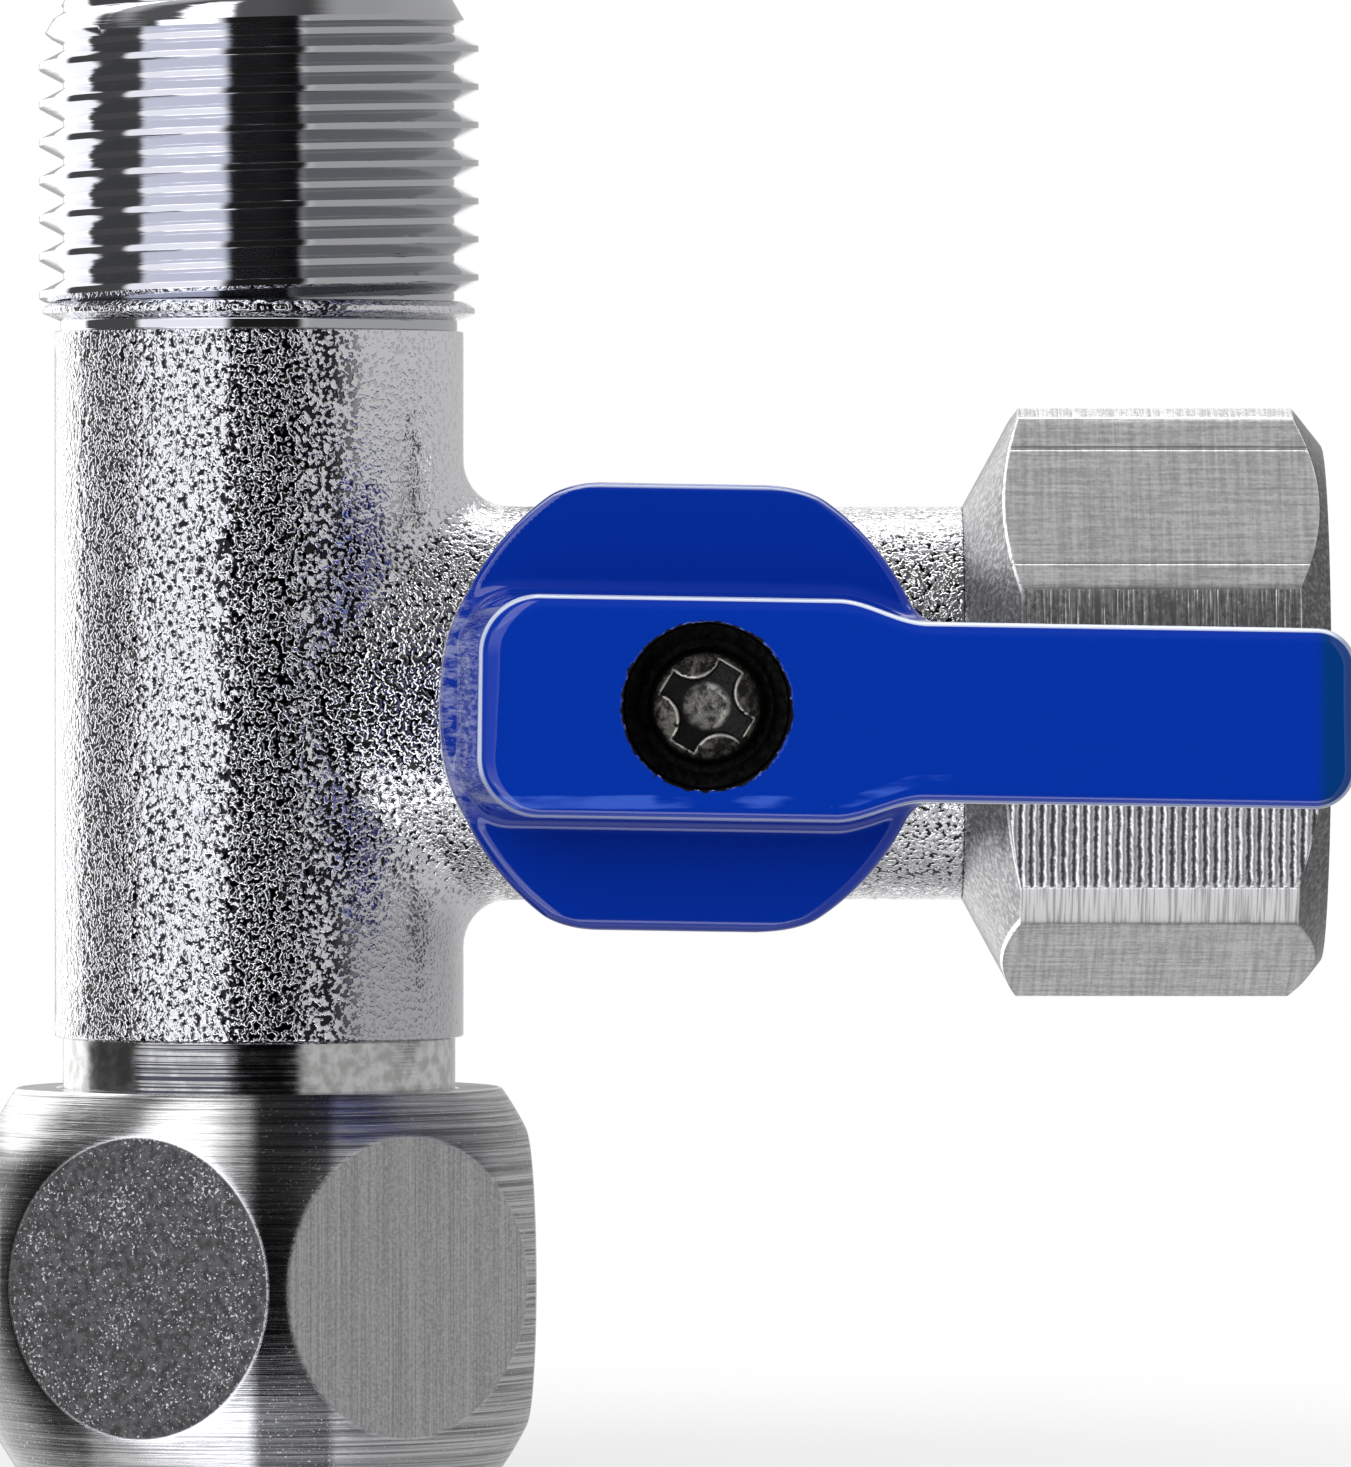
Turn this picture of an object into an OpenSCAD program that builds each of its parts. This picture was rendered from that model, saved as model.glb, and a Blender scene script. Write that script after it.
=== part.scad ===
// Quarter-turn shutoff valve tee: a straight run with a male pipe thread above and a
// swivel nut below, and a ball valve in the side branch that ends in a female pipe thread.
// Millimetres. +Z is up the run, +X is out along the branch, and the lever is on the -Y side.
// The origin is on the run's axis at the face where the supply pipe seals against the gasket.

/* [Pipe threads] */
// Major diameter of the parallel pipe thread
thread_d = 20.955; // [20:0.005:22]
// Pitch of the pipe thread
thread_pitch = 1.814; // [1.5:0.001:2]
// Depth of the pipe thread
thread_depth = 1.162; // [0.9:0.001:1.2]
// Flat left on each crest and in each root
thread_flat = 0.3; // [0.2:0.01:0.36]
// Radial room between a female thread's roots and a male thread's crests
thread_room = 0.12; // [0.05:0.01:0.2]
// Lead-in chamfer at the mouth of a female thread
mouth_chamfer = 0.8; // [0.4:0.1:1.2]

/* [Run] */
// Outside diameter of the forged run
run_d = 19.5; // [19:0.1:22]
// Height of the forged run, between its lower shoulder and the thread undercut
run_h = 33.6; // [30:0.2:42]
// Height of the branch's axis above the lower shoulder
branch_rise = 15.9; // [14:0.1:17]
// Waterway through the run
run_bore_d = 13.2; // [11:0.1:13.6]
// Length of the male end above the undercut
male_l = 15.9; // [12:0.1:20]
// Width of the plain land at the foot of the male thread
land_w = 0.9; // [0.6:0.1:1.4]
// Diameter of that land
land_d = 20.6; // [20:0.05:20.65]
// Width of the undercut between the forging and the male thread
undercut_w = 0.5; // [0.3:0.1:1]
// Diameter at the bottom of that undercut
undercut_d = 18.9; // [18:0.1:19.4]
// Diameter of the male thread's chamfered end
male_end_d = 17.8; // [16:0.1:18.2]
// Length of that chamfer
male_chamfer_l = 2.7; // [1.5:0.1:3]

/* [Branch] */
// Outside diameter of the branch, a little under the run's
branch_d = 18.75; // [18.4:0.05:18.9]
// Distance from the run's axis to the branch's end face
branch_l = 33.5; // [33:0.1:36]
// Distance from the run's axis to the stem's axis
stem_x = 21.3; // [20.6:0.1:21.8]
// Radius of the fillet where the branch leaves the run
joint_fillet = 2.2; // [1:0.1:3]
// Waterway through the branch and the ball
port_d = 9; // [7:0.1:9.6]

/* [Ball and seats] */
// Diameter of the ball
ball_d = 14; // [13.6:0.05:14.2]
// Thickness of a seat's wall outside the ball
seat_wall = 0.2; // [0.1:0.05:0.3]
// Distance from the ball's centre to the back of a seat
seat_back = 7.2; // [7:0.05:7.6]
// Width of the slot across the ball that the stem turns it by
slot_w = 3; // [2.4:0.1:3.6]
// Depth of that slot
slot_depth = 1.8; // [1.2:0.1:2]

/* [Stem] */
// Diameter of the stem
stem_d = 6; // [5.6:0.1:6.4]
// Diameter of the flange that keeps the stem in
stem_flange_d = 8.4; // [7.8:0.1:8.8]
// Thickness of that flange
stem_flange_h = 1.1; // [0.8:0.1:1.3]
// Thickness of the thrust washer on the flange
thrust_h = 0.5; // [0.3:0.1:0.6]
// Distance across the two flats that drive the handle
stem_flats = 4.4; // [4.2:0.1:5]
// Length of the flats inside the handle
stem_drive_h = 2.4; // [2:0.1:2.6]
// Width of an O-ring groove on the stem
stem_groove_w = 1; // [0.8:0.1:1.1]
// Depth of an O-ring groove on the stem
stem_groove_depth = 0.7; // [0.6:0.05:0.8]

/* [Boss] */
// Diameter of the boss that the stem comes out of
boss_d = 14; // [13.2:0.1:15]
// Distance from the branch's axis to the boss's face
boss_top = 12.9; // [12.6:0.1:13.6]
// Radius of the fillet where the boss leaves the branch
boss_fillet = 1.2; // [0.6:0.1:1.4]
// Diameter of the stop post on the boss
stop_d = 2; // [1.6:0.1:2.2]
// Height of the stop post
stop_h = 1.5; // [1:0.1:1.6]
// Distance from the stem's axis to the stop post's
stop_r = 5.2; // [5:0.1:5.4]
// Direction of the stop post, counter-clockwise from the open lever
stop_angle = 135; // [100:5:160]

/* [End cap] */
// Distance across the end cap's flats
cap_flats = 25.6; // [24:0.1:26.4]
// Diameter that the hexagon bar is turned down to
cap_d = 28.3; // [27.2:0.1:28.6]
// Length of the cone behind the hexagon
cap_cone_l = 2.6; // [2:0.1:3.2]
// Length from the branch's end face to the mouth
cap_l = 17.1; // [16.5:0.1:20]
// Diameter of the face at the mouth
cap_face_d = 24.5; // [23.4:0.1:25]
// Length of the chamfer at the mouth
cap_chamfer_l = 1.5; // [1:0.1:2]
// Depth of full thread in the mouth
cap_thread_l = 10.9; // [8:0.1:11.5]
// Width of the relief behind that thread
cap_relief_w = 1.6; // [1:0.1:2]
// Diameter of the spigot inside the branch
cap_spigot_d = 16.4; // [15.6:0.1:16.8]
// Turn of the hexagon about the branch
cap_turn = 12; // [0:0.5:30]

/* [Swivel nut] */
// Distance across the swivel nut's flats
nut_flats = 25.5; // [24.5:0.1:27]
// Height of the swivel nut
nut_h = 18.8; // [17:0.1:21]
// Largest diameter of the barrel that the flats are cut into
nut_barrel_d = 28.86; // [28.2:0.02:29.4]
// Radius of the barrel's curved side
nut_barrel_r = 15.8; // [15:0.1:20]
// Height of the barrel's widest place above the middle of the nut
nut_barrel_lift = 0.3; // [0:0.1:0.6]
// Depth of the nut's thread below the gasket
nut_thread_l = 8.2; // [6:0.1:9]
// Height of the lip that hangs on the tail
nut_lip_h = 4.1; // [2:0.1:5]
// Distance that the nut can slide up the tail
nut_float = 2.4; // [1.5:0.1:3]
// Turn of the hexagon about the run
nut_turn = 35; // [0:1:59]

/* [Tail and gasket] */
// Diameter of the tail that the nut swivels on
tail_d = 18.7; // [18.3:0.1:19]
// Outside diameter of the snap ring on the tail that holds the nut
retainer_d = 20; // [19.8:0.1:20.4]
// Height and wall of that ring
retainer_w = 1; // [0.8:0.1:1.2]
// Angle of the opening that lets the ring spring
retainer_gap_angle = 30; // [20:1:60]
// Diameter of the spigot inside the run
tail_spigot_d = 16.4; // [15.6:0.1:17]
// Length of that spigot
tail_spigot_l = 5; // [4:0.1:5.4]
// Waterway through the tail
tail_bore_d = 12.4; // [10:0.1:13]
// Thickness of the gasket
gasket_h = 2.4; // [1.5:0.1:3]
// Outside diameter of the gasket
gasket_d = 20.6; // [20:0.1:20.8]
// Hole in the gasket
gasket_hole_d = 12.6; // [11:0.1:14]

/* [Handle] */
// Distance from the branch's axis to the handle's underside
handle_base = 13.2; // [13.2:0.1:14]
// Height of the two wings beside the rib
wing_h = 3.8; // [3.4:0.1:5]
// Height of the rib and lever above the underside
rib_h = 7.5; // [6.8:0.1:9]
// Radius of the hub's two arcs
hub_r = 12.2; // [11.4:0.1:12.5]
// Distance that the lever side's arc is set back from the stem's axis
hub_offset = 1.8; // [0:0.1:2]
// Distance across the hub's two flat sides
hub_flats = 20.5; // [19:0.1:21.5]
// Radius of the hub's corners
hub_corner = 1.6; // [1:0.1:3]
// Width of the rib across the hub
rib_w = 10.4; // [9.6:0.1:11.6]
// Distance from the stem's axis to the rib's back end
rib_back = 11.6; // [10.6:0.1:12]
// Radius of the rib's back corners
rib_corner = 3.2; // [1:0.1:4]
// Distance from the stem's axis to where the rib starts to narrow
rib_front = 6.5; // [5.6:0.1:7.5]
// Length over which it narrows
neck_l = 3.1; // [1.5:0.1:5]
// Width of the lever
lever_w = 8.4; // [7:0.1:9.2]
// Distance from the stem's axis to the lever's end
lever_l = 30.1; // [26:0.1:40]
// Thickness of the lever
lever_h = 5.5; // [4:0.1:5.6]
// Radius of the lever's corners
lever_corner = 1.9; // [1:0.1:3]
// Radius of the handle's rounded edges
edge_r = 0.8; // [0.3:0.1:1]
// Diameter of the well that the screw sits in
well_d = 8.1; // [7.8:0.1:9]
// Thickness of the web that the screw clamps
web_h = 1; // [0.8:0.1:1.2]

/* [Screw] */
// Diameter of the handle screw
screw_d = 3; // [2.5:0.5:3.5]
// Length of the screw below its head
screw_l = 7; // [6:0.5:8]
// Diameter of the screw's head
head_d = 5.5; // [5:0.1:6]
// Height of the screw's head
head_h = 1.6; // [1.4:0.1:2]
// Radius of the head's domed top
head_dome_r = 3.8; // [3:0.1:6]
// Diameter across the head's cross recess
recess_d = 4.6; // [3.6:0.1:4.8]
// Depth of the cross recess
recess_depth = 1.1; // [0.8:0.1:1.2]
// Radius of the four lands between the recess's wings
recess_land_r = 0.95; // [0.7:0.05:1.1]
// Distance that those lands reach past the recess's edge
recess_land_out = 0.6; // [0.3:0.1:0.8]
// Turn of the cross recess
recess_turn = 59; // [0:1:89]
// Outside diameter of the flat washer
flat_washer_d = 7.6; // [7:0.1:7.7]
// Thickness of the flat washer
flat_washer_h = 0.4; // [0.3:0.1:0.5]
// Outside diameter of the spring washer
spring_washer_d = 6.2; // [5.6:0.1:6.6]
// Thickness of the spring washer
spring_washer_h = 0.6; // [0.5:0.1:0.8]

/* [Fits] */
// Radial room between a turning piece and its bore
running_gap = 0.05; // [0.02:0.01:0.08]
// Room left between pieces that are assembled and stay still
fit_gap = 0.02; // [0.01:0.01:0.04]
// Radial room between the nut's lip and the tail
swivel_gap = 0.15; // [0.1:0.01:0.25]
// Room at each stop, in degrees
stop_room = 1.5; // [0.5:0.1:3]
// Depth and width of the O-ring grooves on the cap and the tail
groove_depth = 1; // [0.8:0.05:1.2]
// Radial room round the screw in the washers and the handle
screw_room = 0.2; // [0.1:0.05:0.3]

/* [Hidden] */
$fn = 96;
SMOOTH_FN = 32;      // facets on the rounded, hulled pieces of the handle
OVERCUT = 1;         // how far a cutter runs past the face it opens
FUSE = 0.5;          // how far joined solids reach into each other
spring_slit_w = 0.4;
spring_slit_angle = 200;
FILLET_SINK = 0.06;  // how far a fillet's edges lie inside the two cylinders it joins
FILLET_RINGS = 48;   // sections round a junction fillet
FILLET_STEPS = 6;    // chords across a junction fillet
FILLET_ROOT = 1.7;   // depth of a fillet's hidden root below its centre, in fillet radii
QUARTER = 90;        // travel of the handle

// Thread, from the nominal sizes
crest_r = thread_d / 2;
root_r = crest_r - thread_depth;
female_root_r = crest_r + thread_room;
flank_w = thread_pitch / 2 - thread_flat;

// Heights up the run
nut_top = nut_h - nut_thread_l;
run_z0 = nut_top + nut_float;
run_z1 = run_z0 + run_h;
branch_z = run_z0 + branch_rise;
male_z0 = run_z1 + undercut_w;
run_top = male_z0 + male_l;
lip_z = nut_top - nut_lip_h;
retainer_z0 = lip_z - fit_gap - retainer_w;
retainer_inner_r = retainer_d / 2 - retainer_w;
seal_room = 0.1;
tail_z0 = gasket_h + nut_float + seal_room;

// Stations along the branch
cavity_r = ball_d / 2 + seat_wall + 2 * fit_gap;
seat_r = cavity_r - fit_gap;
seat_lip = stem_flange_d / 2 + 4 * running_gap;
cavity_x0 = stem_x - seat_back;
spigot_x0 = stem_x + seat_back;
cap_end = branch_l + cap_l;
hex_x0 = branch_l + cap_cone_l;
cap_thread_x0 = cap_end - cap_thread_l;
cap_chamber_x0 = cap_thread_x0 - cap_relief_w;

// Distances out along the stem, from the branch's axis
flange_z0 = ball_d / 2 + running_gap;
flange_z1 = flange_z0 + stem_flange_h;
pocket_z1 = flange_z1 + thrust_h + fit_gap;
pocket_r = stem_flange_d / 2 + 2 * running_gap;
stem_bore_r = stem_d / 2 + running_gap;
web_z0 = handle_base + stem_drive_h + 2 * running_gap;
web_z1 = web_z0 + web_h;
stem_top = web_z0 - 2 * running_gap;
spring_z0 = web_z1 + flat_washer_h;
head_z0 = spring_z0 + spring_washer_h;
rib_top = handle_base + rib_h;
boss_span = boss_top - pocket_z1;
groove_space = (boss_span - 2 * stem_groove_w) / 3;
lower_groove_z = pocket_z1 + groove_space;
upper_groove_z = lower_groove_z + stem_groove_w + groove_space;

// O-ring section that fills a groove of a given depth under a bore with a given gap
function ring_section(depth, gap) = (depth + gap) / 2 - fit_gap;

// ---- frames ---------------------------------------------------------------------------------

// Puts a shape's Z axis along the branch
module along_branch(x = 0) {
    translate([x, 0, branch_z]) rotate([0, 90, 0]) children();
}

// Puts a shape's Z axis along the stem, outwards, with its X axis along the branch
module along_stem(z = 0) {
    translate([stem_x, -z, branch_z]) rotate([90, 0, 0]) children();
}

// ---- shared shapes --------------------------------------------------------------------------

// Ring of rectangular section
module ring(inner_r, outer_r, h) {
    difference() {
        cylinder(r = outer_r, h = h);
        translate([0, 0, -OVERCUT]) cylinder(r = inner_r, h = h + 2 * OVERCUT);
    }
}

// O-ring round the Z axis
module o_ring(inner_r, section_r) {
    rotate_extrude() translate([inner_r + section_r, 0]) circle(section_r, $fn = SMOOTH_FN);
}

// Solid of thread ridges that stand on a cylinder, each a closed ring at the true pitch
module thread_ridges(base_r, ridge_r, l, first = 0) {
    count = floor((l - first - 2 * flank_w - thread_flat) / thread_pitch) + 1;
    ridges = [for (i = [0 : count - 1]) let (z = first + i * thread_pitch)
        each [[base_r, z], [ridge_r, z + flank_w], [ridge_r, z + flank_w + thread_flat],
            [base_r, z + 2 * flank_w + thread_flat]]];
    top = first + (count - 1) * thread_pitch + 2 * flank_w + thread_flat;
    rotate_extrude() polygon([[0, 0], if (first > 0) [base_r, 0], each ridges,
        if (top < l) [base_r, l], [0, l]]);
}

// Cutter for a female thread that opens at z = 0 and runs down to z = -l
module female_thread_cutter(l) {
    mirror([0, 0, 1]) {
        thread_ridges(root_r, female_root_r, l, mouth_chamfer);
        translate([0, 0, -OVERCUT]) cylinder(r = female_root_r, h = OVERCUT);
        cylinder(r1 = female_root_r, r2 = root_r, h = mouth_chamfer);
    }
}

// Fillet that a ball of radius fillet_r leaves when it rolls round the meeting of two
// cylinders: the main one along Z, and a thinner one that leaves it along +X.
module junction_fillet(main_r, side_r, fillet_r) {
    a = main_r + fillet_r - FILLET_SINK;
    b = side_r + fillet_r - FILLET_SINK;
    row = FILLET_STEPS + 2;
    section = [for (i = [0 : FILLET_RINGS - 1])
        let (phi = 360 * i / FILLET_RINGS, y = b * sin(phi), z = b * cos(phi),
            centre = [sqrt(a * a - y * y), y, z],
            to_main = [-centre[0], -y, 0] / a, to_side = [0, -y, -z] / b,
            turn = acos(min(1, to_main * to_side)),
            inward = (to_main + to_side) / norm(to_main + to_side))
        each [for (k = [0 : FILLET_STEPS]) let (t = k / FILLET_STEPS)
                centre + fillet_r * (sin((1 - t) * turn) * to_main + sin(t * turn) * to_side) / sin(turn),
            centre + FILLET_ROOT * fillet_r * inward]];
    faces = [for (i = [0 : FILLET_RINGS - 1], k = [0 : row - 1])
        let (j = (i + 1) % FILLET_RINGS, m = (k + 1) % row)
        each [[i * row + k, j * row + m, i * row + m], [i * row + k, j * row + k, j * row + m]]];
    polyhedron(section, faces);
}

// Hexagonal prism with a flat facing the X axis turned by 30 degrees
module hex_prism(flats, h) {
    cylinder(d = flats / cos(30), h = h, $fn = 6);
}

// Slab with a rounded rim: each layer is the outline drawn in along a quarter circle
module soft_slab(h, rim_r) {
    hull() for (a = [0 : 30 : 90])
        linear_extrude(h - rim_r * (1 - sin(a))) offset(delta = -rim_r * (1 - cos(a))) children();
}

// Rectangle from x0 to x1 with rounded corners, centred on the X axis
module soft_rectangle(x0, x1, w, r) {
    offset(r = r, $fn = SMOOTH_FN) translate([x0 + r, r - w / 2]) square([x1 - x0 - 2 * r, w - 2 * r]);
}

// ---- tee body -------------------------------------------------------------------------------

module male_end() {
    cylinder(d = land_d, h = land_w);
    intersection() {
        thread_ridges(root_r, crest_r, male_l, land_w);
        union() {
            translate([0, 0, -FUSE]) cylinder(r = crest_r + FUSE, h = male_l - male_chamfer_l + FUSE);
            translate([0, 0, male_l - male_chamfer_l])
                cylinder(r1 = crest_r, r2 = male_end_d / 2, h = male_chamfer_l);
        }
    }
}

module stop_post() {
    rotate(stop_angle) translate([stop_r, 0, -FUSE]) cylinder(d = stop_d, h = stop_h + FUSE);
}

module tee_forging() {
    translate([0, 0, run_z0]) cylinder(d = run_d, h = run_h);
    translate([0, 0, run_z1 - FUSE]) cylinder(d = undercut_d, h = undercut_w + 2 * FUSE);
    translate([0, 0, male_z0]) male_end();
    along_branch() cylinder(d = branch_d, h = branch_l);
    along_stem() cylinder(d = boss_d, h = boss_top);
    along_stem(boss_top) stop_post();
    translate([0, 0, branch_z]) junction_fillet(run_d / 2, branch_d / 2, joint_fillet);
    along_stem() rotate([0, -90, 0]) junction_fillet(branch_d / 2, boss_d / 2, boss_fillet);
}

module tee_body() {
    color("silver") difference() {
        tee_forging();
        translate([0, 0, run_z0 - OVERCUT]) cylinder(d = run_bore_d, h = run_top - run_z0 + 2 * OVERCUT);
        translate([0, 0, run_z0 - OVERCUT])
            cylinder(r = tail_spigot_d / 2 + fit_gap, h = tail_spigot_l + fit_gap + OVERCUT);
        along_branch() cylinder(d = port_d, h = branch_l);
        along_branch(cavity_x0) cylinder(r = cavity_r, h = branch_l);
        along_branch(spigot_x0 - fit_gap)
            cylinder(r = cap_spigot_d / 2 + fit_gap, h = branch_l - spigot_x0 + OVERCUT);
        along_stem() cylinder(r = pocket_r, h = pocket_z1);
        along_stem() cylinder(r = stem_bore_r, h = boss_top + OVERCUT);
    }
}

// ---- end cap --------------------------------------------------------------------------------

module cap_outside() {
    intersection() {
        rotate_extrude() polygon([[0, 0], [branch_d / 2, 0], [cap_d / 2, cap_cone_l],
            [cap_d / 2, cap_l - cap_chamfer_l], [cap_face_d / 2, cap_l], [0, cap_l]]);
        rotate(cap_turn) hex_prism(cap_flats, cap_l);
    }
    translate([0, 0, spigot_x0 - branch_l])
        cylinder(d = cap_spigot_d, h = branch_l - spigot_x0 + FUSE);
}

module end_cap() {
    groove_z = (spigot_x0 - branch_l) / 2;
    color("gainsboro") along_branch(branch_l) difference() {
        cap_outside();
        translate([0, 0, spigot_x0 - branch_l - OVERCUT]) cylinder(d = port_d, h = cap_l);
        translate([0, 0, cap_chamber_x0 - branch_l]) cylinder(r = female_root_r, h = cap_relief_w);
        translate([0, 0, cap_l]) female_thread_cutter(cap_thread_l);
        translate([0, 0, groove_z - groove_depth / 2])
            ring(cap_spigot_d / 2 - groove_depth, cap_spigot_d / 2 + FUSE, groove_depth);
    }
}

module cap_o_ring() {
    section = ring_section(groove_depth, fit_gap);
    color("dimgray") along_branch((spigot_x0 + branch_l) / 2)
        o_ring(cap_spigot_d / 2 - groove_depth + fit_gap, section);
}

// ---- ball, seats and stem -------------------------------------------------------------------

// Seat ring on the outlet side of the ball, in the ball's own frame
module seat_ring() {
    difference() {
        translate([0, 0, seat_lip]) ring(port_d / 2, seat_r, seat_back - seat_lip - fit_gap);
        sphere(r = ball_d / 2 + fit_gap);
    }
}

module inner_seat() {
    color("white") along_branch(stem_x) mirror([0, 0, 1]) seat_ring();
}

module outer_seat() {
    color("white") along_branch(stem_x) seat_ring();
}

module ball() {
    color("silver") difference() {
        along_branch(stem_x) sphere(d = ball_d);
        along_branch(stem_x - ball_d) cylinder(d = port_d, h = 2 * ball_d);
        along_stem(ball_d / 2 - slot_depth) translate([-slot_w / 2, -ball_d / 2, 0])
            cube([slot_w, ball_d, ball_d]);
    }
}

// Groove for a stem O-ring, cut at height z
module stem_groove(z) {
    translate([0, 0, z]) ring(stem_d / 2 - stem_groove_depth, stem_d / 2 + FUSE, stem_groove_w);
}

module stem() {
    tang_w = slot_w - 2 * running_gap;
    tang_z0 = ball_d / 2 - slot_depth + running_gap;
    color("goldenrod") along_stem() difference() {
        union() {
            intersection() {
                translate([-tang_w / 2, -stem_d / 2, tang_z0])
                    cube([tang_w, stem_d, flange_z0 - tang_z0 + FUSE]);
                cylinder(d = stem_d, h = flange_z1);
            }
            translate([0, 0, flange_z0]) cylinder(d = stem_flange_d, h = stem_flange_h);
            translate([0, 0, flange_z0]) cylinder(d = stem_d, h = handle_base - flange_z0);
            intersection() {
                cylinder(d = stem_d, h = stem_top);
                translate([-stem_d, -stem_flats / 2, flange_z1])
                    cube([2 * stem_d, stem_flats, stem_top - flange_z1]);
            }
        }
        stem_groove(lower_groove_z);
        stem_groove(upper_groove_z);
        translate([0, 0, head_z0 - screw_l - 2 * running_gap])
            cylinder(r = screw_d / 2 + fit_gap, h = screw_l + OVERCUT);
    }
}

module thrust_washer() {
    color("white") along_stem(flange_z1 + fit_gap / 2)
        ring(stem_bore_r, stem_flange_d / 2, thrust_h);
}

// O-ring in the stem groove that starts at height z
module stem_o_ring(z) {
    section = ring_section(stem_groove_depth, running_gap);
    color("dimgray") along_stem(z + stem_groove_w / 2)
        o_ring(stem_d / 2 - stem_groove_depth + fit_gap, section);
}

module lower_stem_o_ring() {
    stem_o_ring(lower_groove_z);
}

module upper_stem_o_ring() {
    stem_o_ring(upper_groove_z);
}

// ---- handle ---------------------------------------------------------------------------------

// Hub between two flat sides, with an arc at the back and one set back towards the lever
module hub_outline() {
    offset(r = hub_corner) intersection() {
        circle(hub_r - hub_corner);
        translate([-hub_offset, 0]) circle(hub_r - hub_corner);
        square([3 * hub_r, hub_flats - 2 * hub_corner], center = true);
    }
}

// Part of the rib that narrows to the lever
module neck_outline() {
    polygon([[rib_front - neck_l, -rib_w / 2], [rib_front, -rib_w / 2],
        [rib_front + neck_l, -lever_w / 2], [rib_front + neck_l, lever_w / 2],
        [rib_front, rib_w / 2], [rib_front - neck_l, rib_w / 2]]);
}

// Groove under the hub that the stop post runs in, from the open lever to the closed one
module stop_groove() {
    reach = asin(stop_d / 2 / stop_r) + stop_room;
    half_w = stop_d / 2 + 2 * running_gap;
    rotate(stop_angle - reach) rotate_extrude(angle = QUARTER + 2 * reach)
        translate([stop_r - half_w, -OVERCUT]) square([2 * half_w, stop_h + OVERCUT]);
}

// Hole for the stem's drive: round, with two flats
module drive_socket() {
    intersection() {
        cylinder(r = stem_bore_r, h = 2 * (web_z0 - handle_base), center = true);
        cube([stem_d + FUSE, stem_flats + 2 * running_gap, 4 * rib_h], center = true);
    }
}

module handle() {
    well_h = rib_top - web_z1;
    color("mediumblue") along_stem(handle_base) difference() {
        union() {
            soft_slab(wing_h, edge_r) hub_outline();
            soft_slab(rib_h, edge_r) soft_rectangle(-rib_back, rib_front, rib_w, rib_corner);
            soft_slab(rib_h, edge_r) neck_outline();
            translate([0, 0, rib_h - lever_h]) soft_slab(lever_h, edge_r)
                soft_rectangle(0, lever_l, lever_w, lever_corner);
        }
        drive_socket();
        stop_groove();
        cylinder(r = screw_d / 2 + screw_room, h = rib_h);
        translate([0, 0, web_z1 - handle_base]) cylinder(d = well_d, h = well_h + OVERCUT);
    }
}

module flat_washer() {
    color("dimgray") along_stem(web_z1)
        ring(screw_d / 2 + screw_room, flat_washer_d / 2, flat_washer_h);
}

module spring_washer() {
    color("black") along_stem(spring_z0) difference() {
        ring(screw_d / 2 + screw_room, spring_washer_d / 2, spring_washer_h);
        rotate(spring_slit_angle) translate([0, -spring_slit_w / 2, -OVERCUT])
            cube([spring_washer_d, spring_slit_w, spring_washer_h + 2 * OVERCUT]);
    }
}

// Four-winged recess: a round pocket with four round lands left standing between the wings
module cross_recess() {
    land_at = recess_d / 2 - recess_land_r + recess_land_out;
    linear_extrude(recess_depth + OVERCUT) difference() {
        circle(d = recess_d);
        for (a = [45 : 90 : 315]) rotate(a + recess_turn) translate([land_at, 0]) circle(recess_land_r);
    }
}

module handle_screw() {
    color("dimgray") along_stem(head_z0) difference() {
        union() {
            translate([0, 0, -screw_l]) cylinder(d = screw_d, h = screw_l + FUSE);
            intersection() {
                cylinder(d = head_d, h = head_h);
                translate([0, 0, head_h - head_dome_r]) sphere(r = head_dome_r);
            }
        }
        translate([0, 0, head_h - recess_depth]) cross_recess();
    }
}

// ---- swivel inlet ---------------------------------------------------------------------------

module inlet_tail() {
    groove_z = run_z0 + tail_spigot_l / 2;
    color("silver") difference() {
        union() {
            translate([0, 0, tail_z0]) cylinder(d = tail_d, h = run_z0 - tail_z0);
            translate([0, 0, run_z0 - FUSE]) cylinder(d = tail_spigot_d, h = tail_spigot_l + FUSE);
        }
        translate([0, 0, tail_z0 - OVERCUT])
            cylinder(d = tail_bore_d, h = run_z0 + tail_spigot_l - tail_z0 + 2 * OVERCUT);
        translate([0, 0, groove_z - groove_depth / 2])
            ring(tail_spigot_d / 2 - groove_depth, tail_spigot_d / 2 + FUSE, groove_depth);
        translate([0, 0, retainer_z0 - fit_gap])
            ring(retainer_inner_r - fit_gap, tail_d / 2 + FUSE, retainer_w + 2 * fit_gap);
    }
}

// Snap ring in the tail's groove, with its opening at the back
module retaining_ring() {
    color("silver") translate([0, 0, retainer_z0]) rotate(90 + retainer_gap_angle / 2)
        rotate_extrude(angle = 360 - retainer_gap_angle)
            translate([retainer_inner_r, 0]) square(retainer_w);
}

module tail_o_ring() {
    section = ring_section(groove_depth, fit_gap);
    color("dimgray") translate([0, 0, run_z0 + tail_spigot_l / 2])
        o_ring(tail_spigot_d / 2 - groove_depth + fit_gap, section);
}

// Barrel with a curved side, on the Z axis and centred on z = 0
module nut_barrel() {
    rotate_extrude() intersection() {
        translate([nut_barrel_d / 2 - nut_barrel_r, nut_barrel_lift]) circle(nut_barrel_r);
        translate([0, -nut_h / 2]) square([nut_barrel_d, nut_h]);
    }
}

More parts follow.
